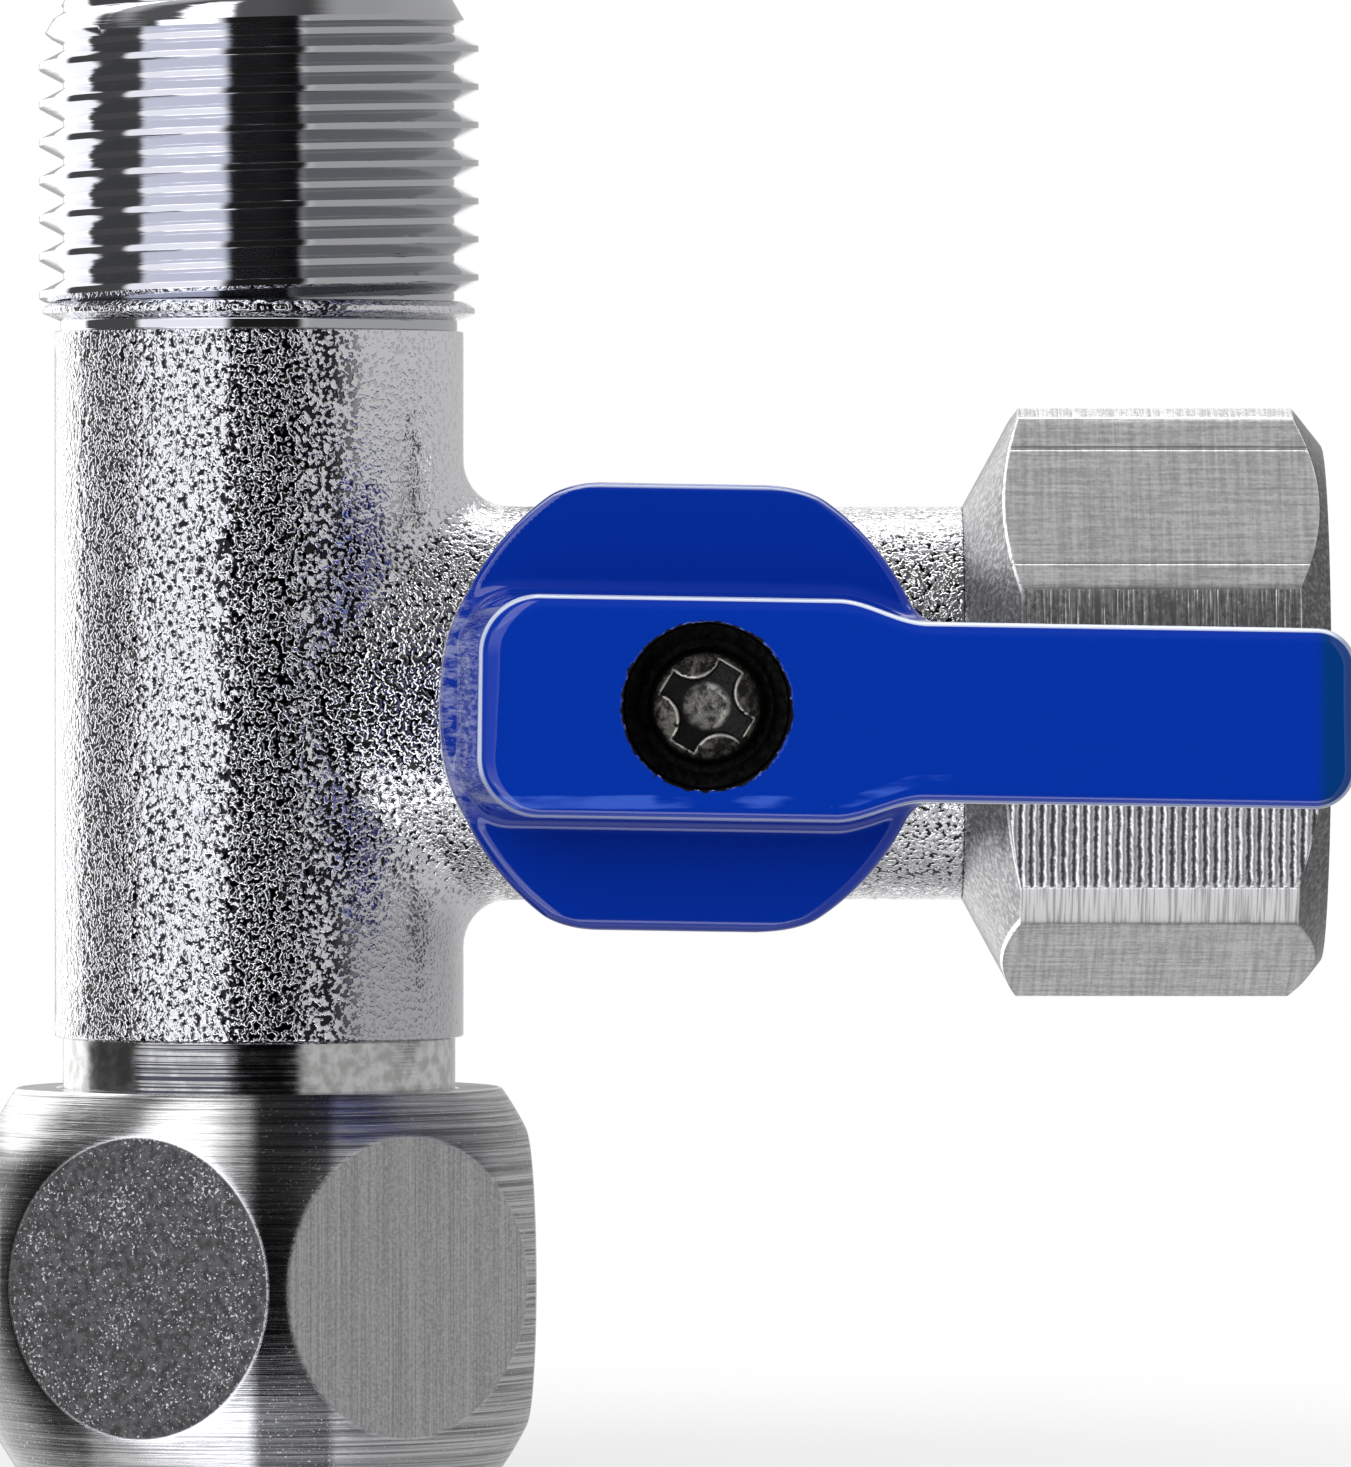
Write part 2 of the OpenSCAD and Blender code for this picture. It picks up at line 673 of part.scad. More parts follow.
module swivel_nut() {
    color("gainsboro") difference() {
        translate([0, 0, nut_top - nut_h / 2]) intersection() {
            nut_barrel();
            rotate(nut_turn) translate([0, 0, -nut_h / 2]) hex_prism(nut_flats, nut_h);
        }
        translate([0, 0, -nut_thread_l]) mirror([0, 0, 1]) female_thread_cutter(nut_thread_l);
        cylinder(r = female_root_r, h = lip_z);
        cylinder(r = tail_d / 2 + swivel_gap, h = nut_top + OVERCUT);
    }
}

module gasket_washer() {
    color("dimgray") ring(gasket_hole_d / 2, gasket_d / 2, gasket_h);
}

tee_body();
end_cap();
inner_seat();
outer_seat();
cap_o_ring();
ball();
stem();
thrust_washer();
lower_stem_o_ring();
upper_stem_o_ring();
handle();
flat_washer();
spring_washer();
handle_screw();
inlet_tail();
tail_o_ring();
retaining_ring();
swivel_nut();
gasket_washer();
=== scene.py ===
"""Looks of a quarter-turn shutoff valve tee: plated brass, a blue enamelled lever and a black screw."""

import math

import bmesh
import bpy
import numpy as np
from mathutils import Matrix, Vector


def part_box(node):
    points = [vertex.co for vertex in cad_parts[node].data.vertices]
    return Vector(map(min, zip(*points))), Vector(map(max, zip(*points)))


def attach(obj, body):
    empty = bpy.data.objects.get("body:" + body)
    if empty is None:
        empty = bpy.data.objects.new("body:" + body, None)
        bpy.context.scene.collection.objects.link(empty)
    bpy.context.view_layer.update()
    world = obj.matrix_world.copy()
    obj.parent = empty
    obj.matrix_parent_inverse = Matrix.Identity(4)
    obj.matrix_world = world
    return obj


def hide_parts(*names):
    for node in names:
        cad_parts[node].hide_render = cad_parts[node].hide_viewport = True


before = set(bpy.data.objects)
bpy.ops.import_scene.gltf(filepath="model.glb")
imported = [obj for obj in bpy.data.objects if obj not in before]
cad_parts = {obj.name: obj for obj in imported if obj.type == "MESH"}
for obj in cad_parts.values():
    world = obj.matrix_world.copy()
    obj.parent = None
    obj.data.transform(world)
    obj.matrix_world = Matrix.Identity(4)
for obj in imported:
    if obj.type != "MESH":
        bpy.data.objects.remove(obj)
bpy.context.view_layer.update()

MM = 0.001
TURN = 2 * math.pi
X, Y, Z = np.eye(3)


def box_mm(node):
    """Lowest and highest corner of a CAD node, in millimetres."""
    return np.array(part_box(node)) / MM


# ---- sizes, in millimetres, from the frame ---------------------------------------------------

(TEE_LOW, TEE_HIGH) = box_mm("tee_body")
CAP_HIGH = box_mm("end_cap")[1]
(NUT_LOW, NUT_HIGH) = box_mm("swivel_nut")
(TAIL_LOW, TAIL_HIGH) = box_mm("inlet_tail")
(HANDLE_LOW, HANDLE_HIGH) = box_mm("handle")
(SCREW_LOW, SCREW_HIGH) = box_mm("handle_screw")
(RING_LOW, RING_HIGH) = box_mm("retaining_ring")

STEM_X = (SCREW_LOW[0] + SCREW_HIGH[0]) / 2
BRANCH_Z = (SCREW_LOW[2] + SCREW_HIGH[2]) / 2
BRANCH_END = TEE_HIGH[0]
RUN_FOOT = TEE_LOW[2]
RUN_TOP = TEE_HIGH[2]

THREAD_PITCH = 1.814
CREST_R = 20.955 / 2
THREAD_DEPTH = 1.162
ROOT_R = CREST_R - THREAD_DEPTH
THREAD_PLAY = 0.12            # how much further out a female thread lies than a male one
FEMALE_ROOT_R = CREST_R + THREAD_PLAY
MOUTH_R = ROOT_R + 0.35       # a female thread's chamfer, at its foot and at the open end
MOUTH_END_R = FEMALE_ROOT_R + 0.1

RUN_R = 9.75
BRANCH_R = 9.375
JOINT_FILLET = 2.2
RUN_BORE_R = 6.6
PORT_R = 4.5
SPIGOT_R = 8.22
SPIGOT_L = 5.02
UNDERCUT_Z = RUN_FOOT + 33.6
UNDERCUT_R = 9.45
UNDERCUT_W = 0.5
LAND_R = 10.3
LAND_W = 0.9
MALE_CHAMFER_L = 2.7
MALE_END_R = 8.9
CREST_MARK_Z = 54.64          # height of one thread crest on the +X side

BOSS_R = 7.0
BOSS_FILLET = 1.2
BOSS_TOP = 12.9
STEM_BORE_R = 3.05
POCKET_R = 4.3
POCKET_TOP = 8.67
CAVITY_R = 7.24
CAVITY_BACK = 7.2
STOP_R = 5.2
STOP_PIN_R = 1.0
STOP_H = 1.5
STOP_ANGLE = 135.0

# ---- meshes ----------------------------------------------------------------------------------


def arc(start, stop, count):
    """Evenly spaced values from start to stop, both included."""
    return np.linspace(start, stop, count)


def grid_quads(rows, cols):
    """Quads between the neighbouring points of a grid that is stored row by row."""
    i, j = np.meshgrid(np.arange(rows - 1), np.arange(cols - 1), indexing="ij")
    first = i * cols + j
    return np.stack([first, first + 1, first + cols + 1, first + cols], -1).reshape(-1, 4)


class Shell:
    """Patches of surface, each a grid of points in millimetres, that are welded into one closed piece."""

    def __init__(self):
        self.points = []
        self.quads = []
        self.count = 0

    def add(self, grid):
        """Adds a grid of points with the shape (rows, columns, 3)."""
        rows, cols = grid.shape[:2]
        self.points.append(grid.reshape(-1, 3))
        self.quads.append(grid_quads(rows, cols) + self.count)
        self.count += rows * cols
        return self

    def piece(self, name, sharp=28.0):
        """Welds the patches, turns the faces outwards and shades edges above sharp degrees as sharp."""
        mesh = bpy.data.meshes.new(name)
        points = np.concatenate(self.points) * MM
        mesh.from_pydata(points, [], np.concatenate(self.quads))
        work = bmesh.new()
        work.from_mesh(mesh)
        bmesh.ops.remove_doubles(work, verts=work.verts, dist=1e-7)
        bmesh.ops.recalc_face_normals(work, faces=work.faces)
        work.to_mesh(mesh)
        work.free()
        mesh.shade_smooth()
        mesh.set_sharp_from_angle(angle=math.radians(sharp))
        obj = bpy.data.objects.new(name, mesh)
        bpy.context.scene.collection.objects.link(obj)
        return obj


def softened(corners, radius, steps=4):
    """A polyline whose inner corners are rounded: each corner gives way to an arc of that radius.

    The arc is a quadratic curve between the two points that lie one tangent length from the corner."""
    corners = np.asarray(corners, float)
    before, here, after = corners[:-2], corners[1:-1], corners[2:]
    back = before - here
    ahead = after - here
    back_l = np.linalg.norm(back, axis=1, keepdims=True)
    ahead_l = np.linalg.norm(ahead, axis=1, keepdims=True)
    cosine = np.sum(back * ahead, axis=1, keepdims=True) / (back_l * ahead_l)
    tangent = radius * np.sqrt((1 + cosine) / np.maximum(1 - cosine, 1e-9))
    tangent = np.minimum(tangent, 0.45 * np.minimum(back_l, ahead_l))
    start = here + back / back_l * tangent
    stop = here + ahead / ahead_l * tangent
    t = arc(0, 1, steps + 1)[None, :, None]
    curves = (1 - t) ** 2 * start[:, None] + 2 * t * (1 - t) * here[:, None] + t ** 2 * stop[:, None]
    return np.concatenate([corners[:1], curves.reshape(-1, 2), corners[-1:]])


def axial(axis_point, axis, first, angles, radii, stations):
    """Points round an axis: radius and station per row, angle per column, measured from first."""
    second = np.cross(axis, first)
    angles, radii, stations = np.broadcast_arrays(angles, radii, stations)
    ring = np.cos(angles)[..., None] * first + np.sin(angles)[..., None] * second
    return axis_point + radii[..., None] * ring + stations[..., None] * axis


class Lathe:
    """Makes surfaces of revolution round one axis, all with the same columns of angles."""

    def __init__(self, axis_point, axis, first, angles):
        self.place = (np.asarray(axis_point, float), axis, first)
        self.angles = angles

    def turned(self, profile):
        """Surface of a profile of (radius, station) pairs."""
        profile = np.asarray(profile, float)
        return axial(*self.place, self.angles[None], profile[:, :1], profile[:, 1:])

    def between(self, radii_a, station_a, radii_b, station_b):
        """One strip between two rings whose radii may vary from column to column."""
        radii = np.stack(np.broadcast_arrays(radii_a, radii_b, self.angles)[:2])
        stations = np.stack(np.broadcast_arrays(station_a, station_b, self.angles)[:2])
        return axial(*self.place, self.angles[None], radii, stations)

    def threaded(self, low, high, mark, inside, envelope=None):
        """Helical thread between two stations, with a crest through the mark at angle 0.

        The grid's rows follow the helix, and they are held at the two ends, so a row that runs out
        lies on the end's edge. Returns the surface and its radii along both ends."""
        turns = np.arange(math.floor((low - mark) / THREAD_PITCH) - 2, (high - mark) / THREAD_PITCH + 2)
        rows = mark + THREAD_PITCH * (turns[:, None] + THREAD_ROWS[None]).reshape(-1, 1)
        lead = THREAD_PITCH * self.angles[None] / TURN
        stations = np.clip(rows + lead, low, high)
        radii = thread_radius(stations - lead - mark, inside)
        if envelope:
            radii = np.minimum(radii, envelope(stations))
        return axial(*self.place, self.angles[None], radii, stations), radii[0], radii[-1]


# a thread's rows along one pitch, closest where its flanks meet the crest and the root
FLANK_H = THREAD_PITCH / 2 / math.tan(math.radians(27.5))
THREAD_FLAT = (0.5 - THREAD_DEPTH / 2 / FLANK_H) / 2
THREAD_EDGE = 0.05
EDGE_ROWS = THREAD_EDGE * THREAD_PITCH / 2 / FLANK_H
QUARTER_ROWS = np.array([0, THREAD_FLAT - EDGE_ROWS, THREAD_FLAT, THREAD_FLAT + EDGE_ROWS, 0.25])
BACK_ROWS = QUARTER_ROWS[-2:0:-1]
THREAD_ROWS = np.concatenate([QUARTER_ROWS, 0.5 - BACK_ROWS, 0.5 + QUARTER_ROWS, 1 - BACK_ROWS])


def thread_radius(offset, inside):
    """Radius of a parallel pipe thread at a distance along it from a crest.

    A triangular wave with flanks of 27.5 degrees is cut off at the crest and at the root, and each
    corner that this leaves is rounded by a short parabola."""
    phase = np.abs((offset / THREAD_PITCH + 0.5) % 1 - 0.5) * 2
    wave = FLANK_H * (0.5 - phase)
    half = THREAD_DEPTH / 2
    past = np.clip(np.abs(wave) - half + THREAD_EDGE, 0, 2 * THREAD_EDGE)
    limited = np.minimum(np.abs(wave), half + THREAD_EDGE) - past ** 2 / (4 * THREAD_EDGE)
    limited = np.sign(wave) * limited
    middle = CREST_R - half
    return middle + (THREAD_PLAY - limited if inside else limited)


def junction(main_r, side_r, fillet_r, phi):
    """Fillet of a ball that rolls round the meeting of a main tube along Z and a side tube along X.

    Returns the ball's centres and the two curves where it touches the main and the side tube."""
    a, b = main_r + fillet_r, side_r + fillet_r
    y, z = b * np.sin(phi), b * np.cos(phi)
    x = np.sqrt(a * a - y * y)
    centre = np.stack([x, y, z], -1)
    on_main = np.stack([x * main_r / a, y * main_r / a, z], -1)
    on_side = np.stack([x, y * side_r / b, z * side_r / b], -1)
    return centre, on_main, on_side


def fillet_strip(centre, on_main, on_side, fillet_r, steps):
    """Strip between the two touching curves, along arcs round the ball's centres."""
    one, two = (on_main - centre) / fillet_r, (on_side - centre) / fillet_r
    angle = np.arccos(np.clip(np.sum(one * two, -1), -1, 1))[None, :, None]
    t = arc(0, 1, steps + 1)[:, None, None]
    blend = (np.sin((1 - t) * angle) * one + np.sin(t * angle) * two) / np.sin(angle)
    return centre + fillet_r * blend


def frame_edge(around, low, high, side):
    """Closed path round the sheet of an unrolled tube: (angle, station), from the middle of its top edge.

    The two sides have a point at station 0, so that a hole there gets one on each flank."""
    down = np.concatenate([arc(high, 0, side + 1), arc(0, low, side + 1)[1:]])[1:-1]
    parts = [
        np.stack([around[around >= 0], np.full(np.sum(around >= 0), high)], -1),
        np.stack([np.full(len(down), math.pi), down], -1),
        np.stack([around[::-1], np.full(len(around), low)], -1),
        np.stack([np.full(len(down), -math.pi), down[::-1]], -1),
        np.stack([around[around <= 0], np.full(np.sum(around <= 0), high)], -1),
    ]
    return np.concatenate(parts)


def hole_angles(edge, half_angle, half_height):
    """For each point of a sheet's edge, the matching angle round the hole, from +Z towards +Y."""
    return np.unwrap(np.arctan2(edge[:, 0] / half_angle, edge[:, 1] / half_height))


def pierced_tube(main_r, hole, edge, rows):
    """Tube along Z with a hole: straight lines on the unrolled sheet run from the hole to its edge."""
    inner = np.stack([np.arctan2(hole[:, 1], hole[:, 0]), hole[:, 2]], -1)
    t = (arc(0, 1, rows + 1) ** 1.3)[:, None, None]
    sheet = (1 - t) * inner + t * edge
    return np.stack([main_r * np.cos(sheet[..., 0]), main_r * np.sin(sheet[..., 0]), sheet[..., 1]], -1)


def to_plane(curve, station, rows):
    """Straight walls that carry a curve along X to a plane."""
    flat = np.concatenate([np.full((len(curve), 1), station), curve[:, 1:]], -1)
    t = arc(0, 1, rows + 1)[:, None, None]
    return (1 - t) * curve + t * flat


# ---- tee body --------------------------------------------------------------------------------

RUN_COLUMNS = 160
RUN_SIDE = 24
BOSS_SIDE = 16
EDGE_BAND = 0.4
ROUND = arc(-math.pi, math.pi, RUN_COLUMNS + 1)


def on_run(points):
    """Carries points from a junction's own axes to the run: main tube along Z, side tube along X."""
    return points + BRANCH_Z * Z


def on_branch(points):
    """Carries points to the branch at the stem: main tube along X, side tube along -Y."""
    turned = points[..., 2:] * X - points[..., :1] * Y - points[..., 1:2] * Z
    return turned + STEM_X * X + BRANCH_Z * Z


def male_envelope(stations):
    """Largest radius of the male thread at a station: its crests, then the chamfer at the end."""
    slope = (CREST_R - MALE_END_R) / MALE_CHAMFER_L
    return np.minimum(CREST_R, MALE_END_R + (RUN_TOP - stations) * slope)


def run_surfaces(shell, edge, phi):
    """The run: its outside with the branch's hole, the male thread, and the waterway.

    edge is the edge of its outside, unrolled, and phi the angles round the branch's hole."""
    lathe = Lathe((0, 0, 0), Z, X, ROUND)
    _, on_main, _ = junction(RUN_R, BRANCH_R, JOINT_FILLET, phi)
    shell.add(on_run(pierced_tube(RUN_R, on_main, edge, 14)))
    spigot_top = RUN_FOOT + SPIGOT_L
    shell.add(lathe.turned(softened([
        (RUN_R, RUN_FOOT + EDGE_BAND), (RUN_R, RUN_FOOT), (SPIGOT_R, RUN_FOOT),
        (SPIGOT_R, spigot_top), (RUN_BORE_R, spigot_top)], 0.2)))
    land_z = UNDERCUT_Z + UNDERCUT_W
    thread_z = land_z + LAND_W
    shell.add(lathe.turned(softened([
        (RUN_R, UNDERCUT_Z - EDGE_BAND), (RUN_R, UNDERCUT_Z),
        (UNDERCUT_R, UNDERCUT_Z), (UNDERCUT_R, land_z),
        (LAND_R, land_z + 0.35), (LAND_R, thread_z - 0.3), (LAND_R - EDGE_BAND, thread_z)], 0.1)))
    thread, foot_r, _ = lathe.threaded(thread_z, RUN_TOP, CREST_MARK_Z, False, male_envelope)
    shell.add(thread)
    shell.add(lathe.between(LAND_R - EDGE_BAND, thread_z, foot_r, thread_z))
    shell.add(lathe.turned(softened([
        (MALE_END_R, RUN_TOP), (RUN_BORE_R, RUN_TOP), (RUN_BORE_R, UNDERCUT_Z)], 0.3)))
    _, port, _ = junction(RUN_BORE_R, PORT_R, 0, phi)
    bore_edge = frame_edge(ROUND, spigot_top - BRANCH_Z, UNDERCUT_Z - BRANCH_Z, RUN_SIDE)
    shell.add(on_run(pierced_tube(RUN_BORE_R, port, bore_edge, 8)))
    shell.add(on_run(to_plane(port, STEM_X - CAVITY_BACK, 2)))


def branch_surfaces(shell, phi):
    """The branch and its fillet to the run, the ball's chamber, and the boss with the stem's bore."""
    centre, on_main, on_side = junction(RUN_R, BRANCH_R, JOINT_FILLET, phi)
    shell.add(on_run(fillet_strip(centre, on_main, on_side, JOINT_FILLET, 10)))
    ring_x = RUN_R + JOINT_FILLET + EDGE_BAND
    shell.add(on_run(to_plane(on_side, ring_x, 8)))

    start = np.argmin(np.abs(phi - math.pi / 2))
    around = (1.5 * math.pi - np.concatenate([phi[start:-1], phi[:start + 1] + TURN]))[::-1]
    around[0], around[-1] = -math.pi, math.pi
    end_x = BRANCH_END - EDGE_BAND
    edge = frame_edge(around, ring_x - STEM_X, end_x - STEM_X, BOSS_SIDE)
    reach = BOSS_R + BOSS_FILLET
    psi = hole_angles(edge, math.asin(reach / (BRANCH_R + BOSS_FILLET)), reach)
    centre, on_main, on_side = junction(BRANCH_R, BOSS_R, BOSS_FILLET, psi)
    shell.add(on_branch(pierced_tube(BRANCH_R, on_main, edge, 10)))
    shell.add(on_branch(fillet_strip(centre, on_main, on_side, BOSS_FILLET, 6)))
    shell.add(on_branch(to_plane(on_side, BOSS_TOP - EDGE_BAND, 1)))

    lathe = Lathe((0, 0, BRANCH_Z), X, -Y, around)
    seat_x = STEM_X + CAVITY_BACK
    shell.add(lathe.turned(softened([
        (BRANCH_R, end_x), (BRANCH_R, BRANCH_END), (SPIGOT_R, BRANCH_END),
        (SPIGOT_R, seat_x), (CAVITY_R, seat_x)], 0.12)))
    shell.add(lathe.turned([(CAVITY_R, STEM_X - CAVITY_BACK), (PORT_R, STEM_X - CAVITY_BACK)]))
    _, pocket, _ = junction(CAVITY_R, POCKET_R, 0, psi)
    chamber_edge = frame_edge(around, -CAVITY_BACK, CAVITY_BACK, BOSS_SIDE)
    shell.add(on_branch(pierced_tube(CAVITY_R, pocket, chamber_edge, 4)))
    shell.add(on_branch(to_plane(pocket, POCKET_TOP, 1)))
    boss = Lathe((STEM_X, 0, BRANCH_Z), -Y, X, -psi)
    shell.add(boss.turned(softened([
        (BOSS_R, BOSS_TOP - EDGE_BAND), (BOSS_R, BOSS_TOP), (STEM_BORE_R, BOSS_TOP),
        (STEM_BORE_R, POCKET_TOP), (POCKET_R, POCKET_TOP)], 0.12)))


def stop_post(shell):
    """The post on the boss that the handle's groove runs against."""
    turn = math.radians(STOP_ANGLE)
    foot = np.array([STEM_X + STOP_R * math.cos(turn), 0, BRANCH_Z + STOP_R * math.sin(turn)])
    shell.add(Lathe(foot, -Y, X, ROUND[::8]).turned(softened([
        (0, BOSS_TOP - EDGE_BAND), (STOP_PIN_R, BOSS_TOP - EDGE_BAND),
        (STOP_PIN_R, BOSS_TOP + STOP_H), (0, BOSS_TOP + STOP_H)], 0.2)))


def tee_body():
    """The forging: run, branch and boss with their fillets, male thread, waterways and ball chamber."""
    shell = Shell()
    low, high = RUN_FOOT + EDGE_BAND - BRANCH_Z, UNDERCUT_Z - EDGE_BAND - BRANCH_Z
    edge = frame_edge(ROUND, low, high, RUN_SIDE)
    reach = BRANCH_R + JOINT_FILLET
    phi = hole_angles(edge, math.asin(reach / (RUN_R + JOINT_FILLET)), reach)
    run_surfaces(shell, edge, phi)
    branch_surfaces(shell, phi)
    stop_post(shell)
    return shell.piece("tee_forging")


# ---- turned and milled hexagons --------------------------------------------------------------

SIDE = math.pi / 3
FACET_COLUMNS = 20
BAND_COLUMNS = 10


def hex_columns(facet_half):
    """Angles round a hexagon: per side, the flat's columns and then those of the round band beside it.

    facet_half is the flat's half-angle in each row, and columns crowd towards the flat's edges."""
    ease_in = np.sin(arc(-math.pi / 2, math.pi / 2, FACET_COLUMNS + 1))
    ease_out = (1 - np.cos(arc(0, math.pi, BAND_COLUMNS + 1)[1:])) / 2
    facet_half = facet_half[:, None]
    flat = facet_half * ease_in[None]
    band = facet_half + (SIDE - 2 * facet_half) * ease_out[None]
    one = np.concatenate([flat, band[:, :-1]], 1)
    sides = [one + SIDE * k for k in range(6)]
    return np.concatenate(sides + [sides[0][:, :1] + TURN], 1)


def milled(radii, stations, apothem, edge_r, place, turn):
    """Outside of a turned blank with six flats milled into it.

    The radius is the smaller of the blank's and the flat's, with the edge between them rounded by a
    smooth minimum. Returns the surface and the angles of its first row."""
    facet_half = np.arccos(np.minimum(apothem / radii, 1))
    columns = hex_columns(facet_half)
    from_flat = (columns + SIDE / 2) % SIDE - SIDE / 2
    flat = apothem / np.cos(from_flat)
    gap = np.abs(radii[:, None] - flat)
    radius = np.minimum(radii[:, None], flat) - np.maximum(edge_r - gap, 0) ** 2 / (4 * edge_r)
    return axial(*place, columns + turn, radius, stations[:, None]), columns[0] + turn


# ---- swivel nut ------------------------------------------------------------------------------

NUT_APOTHEM = 12.75
NUT_BARREL_R = 14.43
NUT_SIDE_R = 15.8
NUT_RIM = 0.5
NUT_TURN = math.radians(5.0)
NUT_LIFT = 0.3                # the barrel is widest a little above the nut's middle
LIP_BORE_R = 9.5
LIP_H = 4.1
MOUTH_CHAMFER = 0.8           # length of the chamfer at a female thread's mouth


def barrel_radius(height):
    """Radius of the nut's barrel at a height from its widest place: an arc with its centre inside."""
    return np.sqrt(NUT_SIDE_R ** 2 - height ** 2) - (NUT_SIDE_R - NUT_BARREL_R)


def swivel_nut():
    """Union nut: a barrel-sided blank with six flats, a helical thread below and a lip above."""
    foot, top = NUT_LOW[2], NUT_HIGH[2]
    middle = (foot + top) / 2 + NUT_LIFT
    place = (np.zeros(3), Z, -Y)
    flat_half_h = math.sqrt(NUT_SIDE_R ** 2 - (NUT_SIDE_R - NUT_BARREL_R + NUT_APOTHEM) ** 2)
    inner = flat_half_h * np.sin(arc(-math.pi / 2, math.pi / 2, 61))
    below = arc(flat_half_h, middle - foot - NUT_RIM, 9)[1:]
    above = arc(flat_half_h, top - middle - NUT_RIM, 9)[1:]
    heights = np.concatenate([-below[::-1], inner, above])
    radii = barrel_radius(heights)
    turn = NUT_TURN + SIDE / 2
    shell = Shell()
    surface, low_angles = milled(radii, heights + middle, NUT_APOTHEM, 0.1, place, turn)
    shell.add(surface)
    lathe = Lathe(*place, low_angles)
    gasket_z, lip_z, thread_z = 0.0, top - LIP_H, foot + MOUTH_CHAMFER
    shell.add(lathe.turned(softened([
        (radii[0], foot + NUT_RIM), (barrel_radius(foot - middle), foot),
        (MOUTH_END_R, foot), (MOUTH_R, thread_z)], 0.25)))
    thread, foot_r, head_r = lathe.threaded(thread_z, gasket_z, foot, True)
    shell.add(thread)
    shell.add(lathe.between(MOUTH_R, thread_z, foot_r, thread_z))
    shell.add(lathe.between(head_r, gasket_z, FEMALE_ROOT_R, gasket_z))
    shell.add(lathe.turned(softened([
        (FEMALE_ROOT_R, gasket_z), (FEMALE_ROOT_R, lip_z), (LIP_BORE_R, lip_z), (LIP_BORE_R, top),
        (barrel_radius(top - middle), top), (radii[-1], top - NUT_RIM)], 0.3)))
    return shell.piece("union_nut")


# ---- end cap ---------------------------------------------------------------------------------

CAP_APOTHEM = 12.8
CAP_R = 14.15
CAP_CONE_L = 2.6
CAP_CHAMFER_L = 1.5
CAP_FACE_R = 12.25
CAP_EDGE = (0.2, 0.15)        # the small bevel round its face: across and along
CAP_TURN = math.radians(12.0)
RIDGE_STEP = 0.51             # from one mill ridge to the next
CAP_THREAD_L = 10.9
CAP_RELIEF_W = 1.6
CAP_SPIGOT_R = 8.2
GROOVE_W = 1.0                # width and depth of an O-ring groove


def cone_stations(radius_a, station_a, radius_b, station_b, count):
    """Rows of a cone that crowd towards its thin end's flats: even steps of the flat's half-angle."""
    thick, thin = max(radius_a, radius_b), min(radius_a, radius_b)
    half = arc(0, math.acos(CAP_APOTHEM / thick), count)
    radii = CAP_APOTHEM / np.cos(half)
    radii = np.concatenate([arc(thin, CAP_APOTHEM, 5)[:-1], radii])
    if radius_a > radius_b:
        radii = radii[::-1]
    return radii, station_a + (radii - radius_a) / (radius_b - radius_a) * (station_b - station_a)


def end_cap():
    """Outlet end: a cone and a hexagon with narrow round bands, a spigot, and a threaded mouth."""
    place = (BRANCH_Z * Z, X, -Y)
    mouth = CAP_HIGH[0]
    edge_r, edge_x = CAP_FACE_R + CAP_EDGE[0], mouth - CAP_EDGE[1]
    cone_r, cone_x = cone_stations(BRANCH_R, BRANCH_END, CAP_R, BRANCH_END + CAP_CONE_L, 20)
    face_r, face_x = cone_stations(CAP_R, mouth - CAP_CHAMFER_L, edge_r, edge_x, 20)
    radii, stations = np.concatenate([cone_r, face_r]), np.concatenate([cone_x, face_x])
    shell = Shell()
    surface, low_angles = milled(radii, stations, CAP_APOTHEM, 0.07, place, CAP_TURN)
    shell.add(surface)
    lathe = Lathe(*place, low_angles)
    seat_x = STEM_X + CAVITY_BACK
    middle_x = (seat_x + BRANCH_END) / 2
    groove_r = CAP_SPIGOT_R - GROOVE_W
    groove_x = (middle_x - GROOVE_W / 2, middle_x + GROOVE_W / 2)
    thread_x, thread_end_x = mouth - CAP_THREAD_L, mouth - MOUTH_CHAMFER
    relief_x = thread_x - CAP_RELIEF_W
    shell.add(lathe.turned(softened([
        (BRANCH_R, BRANCH_END), (CAP_SPIGOT_R, BRANCH_END),
        (CAP_SPIGOT_R, groove_x[1]), (groove_r, groove_x[1]), (groove_r, groove_x[0]),
        (CAP_SPIGOT_R, groove_x[0]), (CAP_SPIGOT_R, seat_x), (PORT_R, seat_x),
        (PORT_R, relief_x), (FEMALE_ROOT_R, relief_x), (FEMALE_ROOT_R, thread_x)], 0.08, 2)))
    thread, foot_r, head_r = lathe.threaded(thread_x, thread_end_x, mouth, True)
    shell.add(thread)
    shell.add(lathe.between(FEMALE_ROOT_R, thread_x, foot_r, thread_x))
    shell.add(lathe.between(head_r, thread_end_x, MOUTH_R, thread_end_x))
    shell.add(lathe.turned(softened([
        (MOUTH_R, thread_end_x), (MOUTH_END_R, mouth), (CAP_FACE_R, mouth), (edge_r, edge_x)], 0.1)))
    return shell.piece("outlet_cap")


# ---- inlet tail ------------------------------------------------------------------------------

TAIL_R = 9.35
TAIL_BORE_R = 6.2
RING_GROOVE_R = 8.98
RING_PLAY = 0.02
TAIL_SPIGOT_R = 8.2


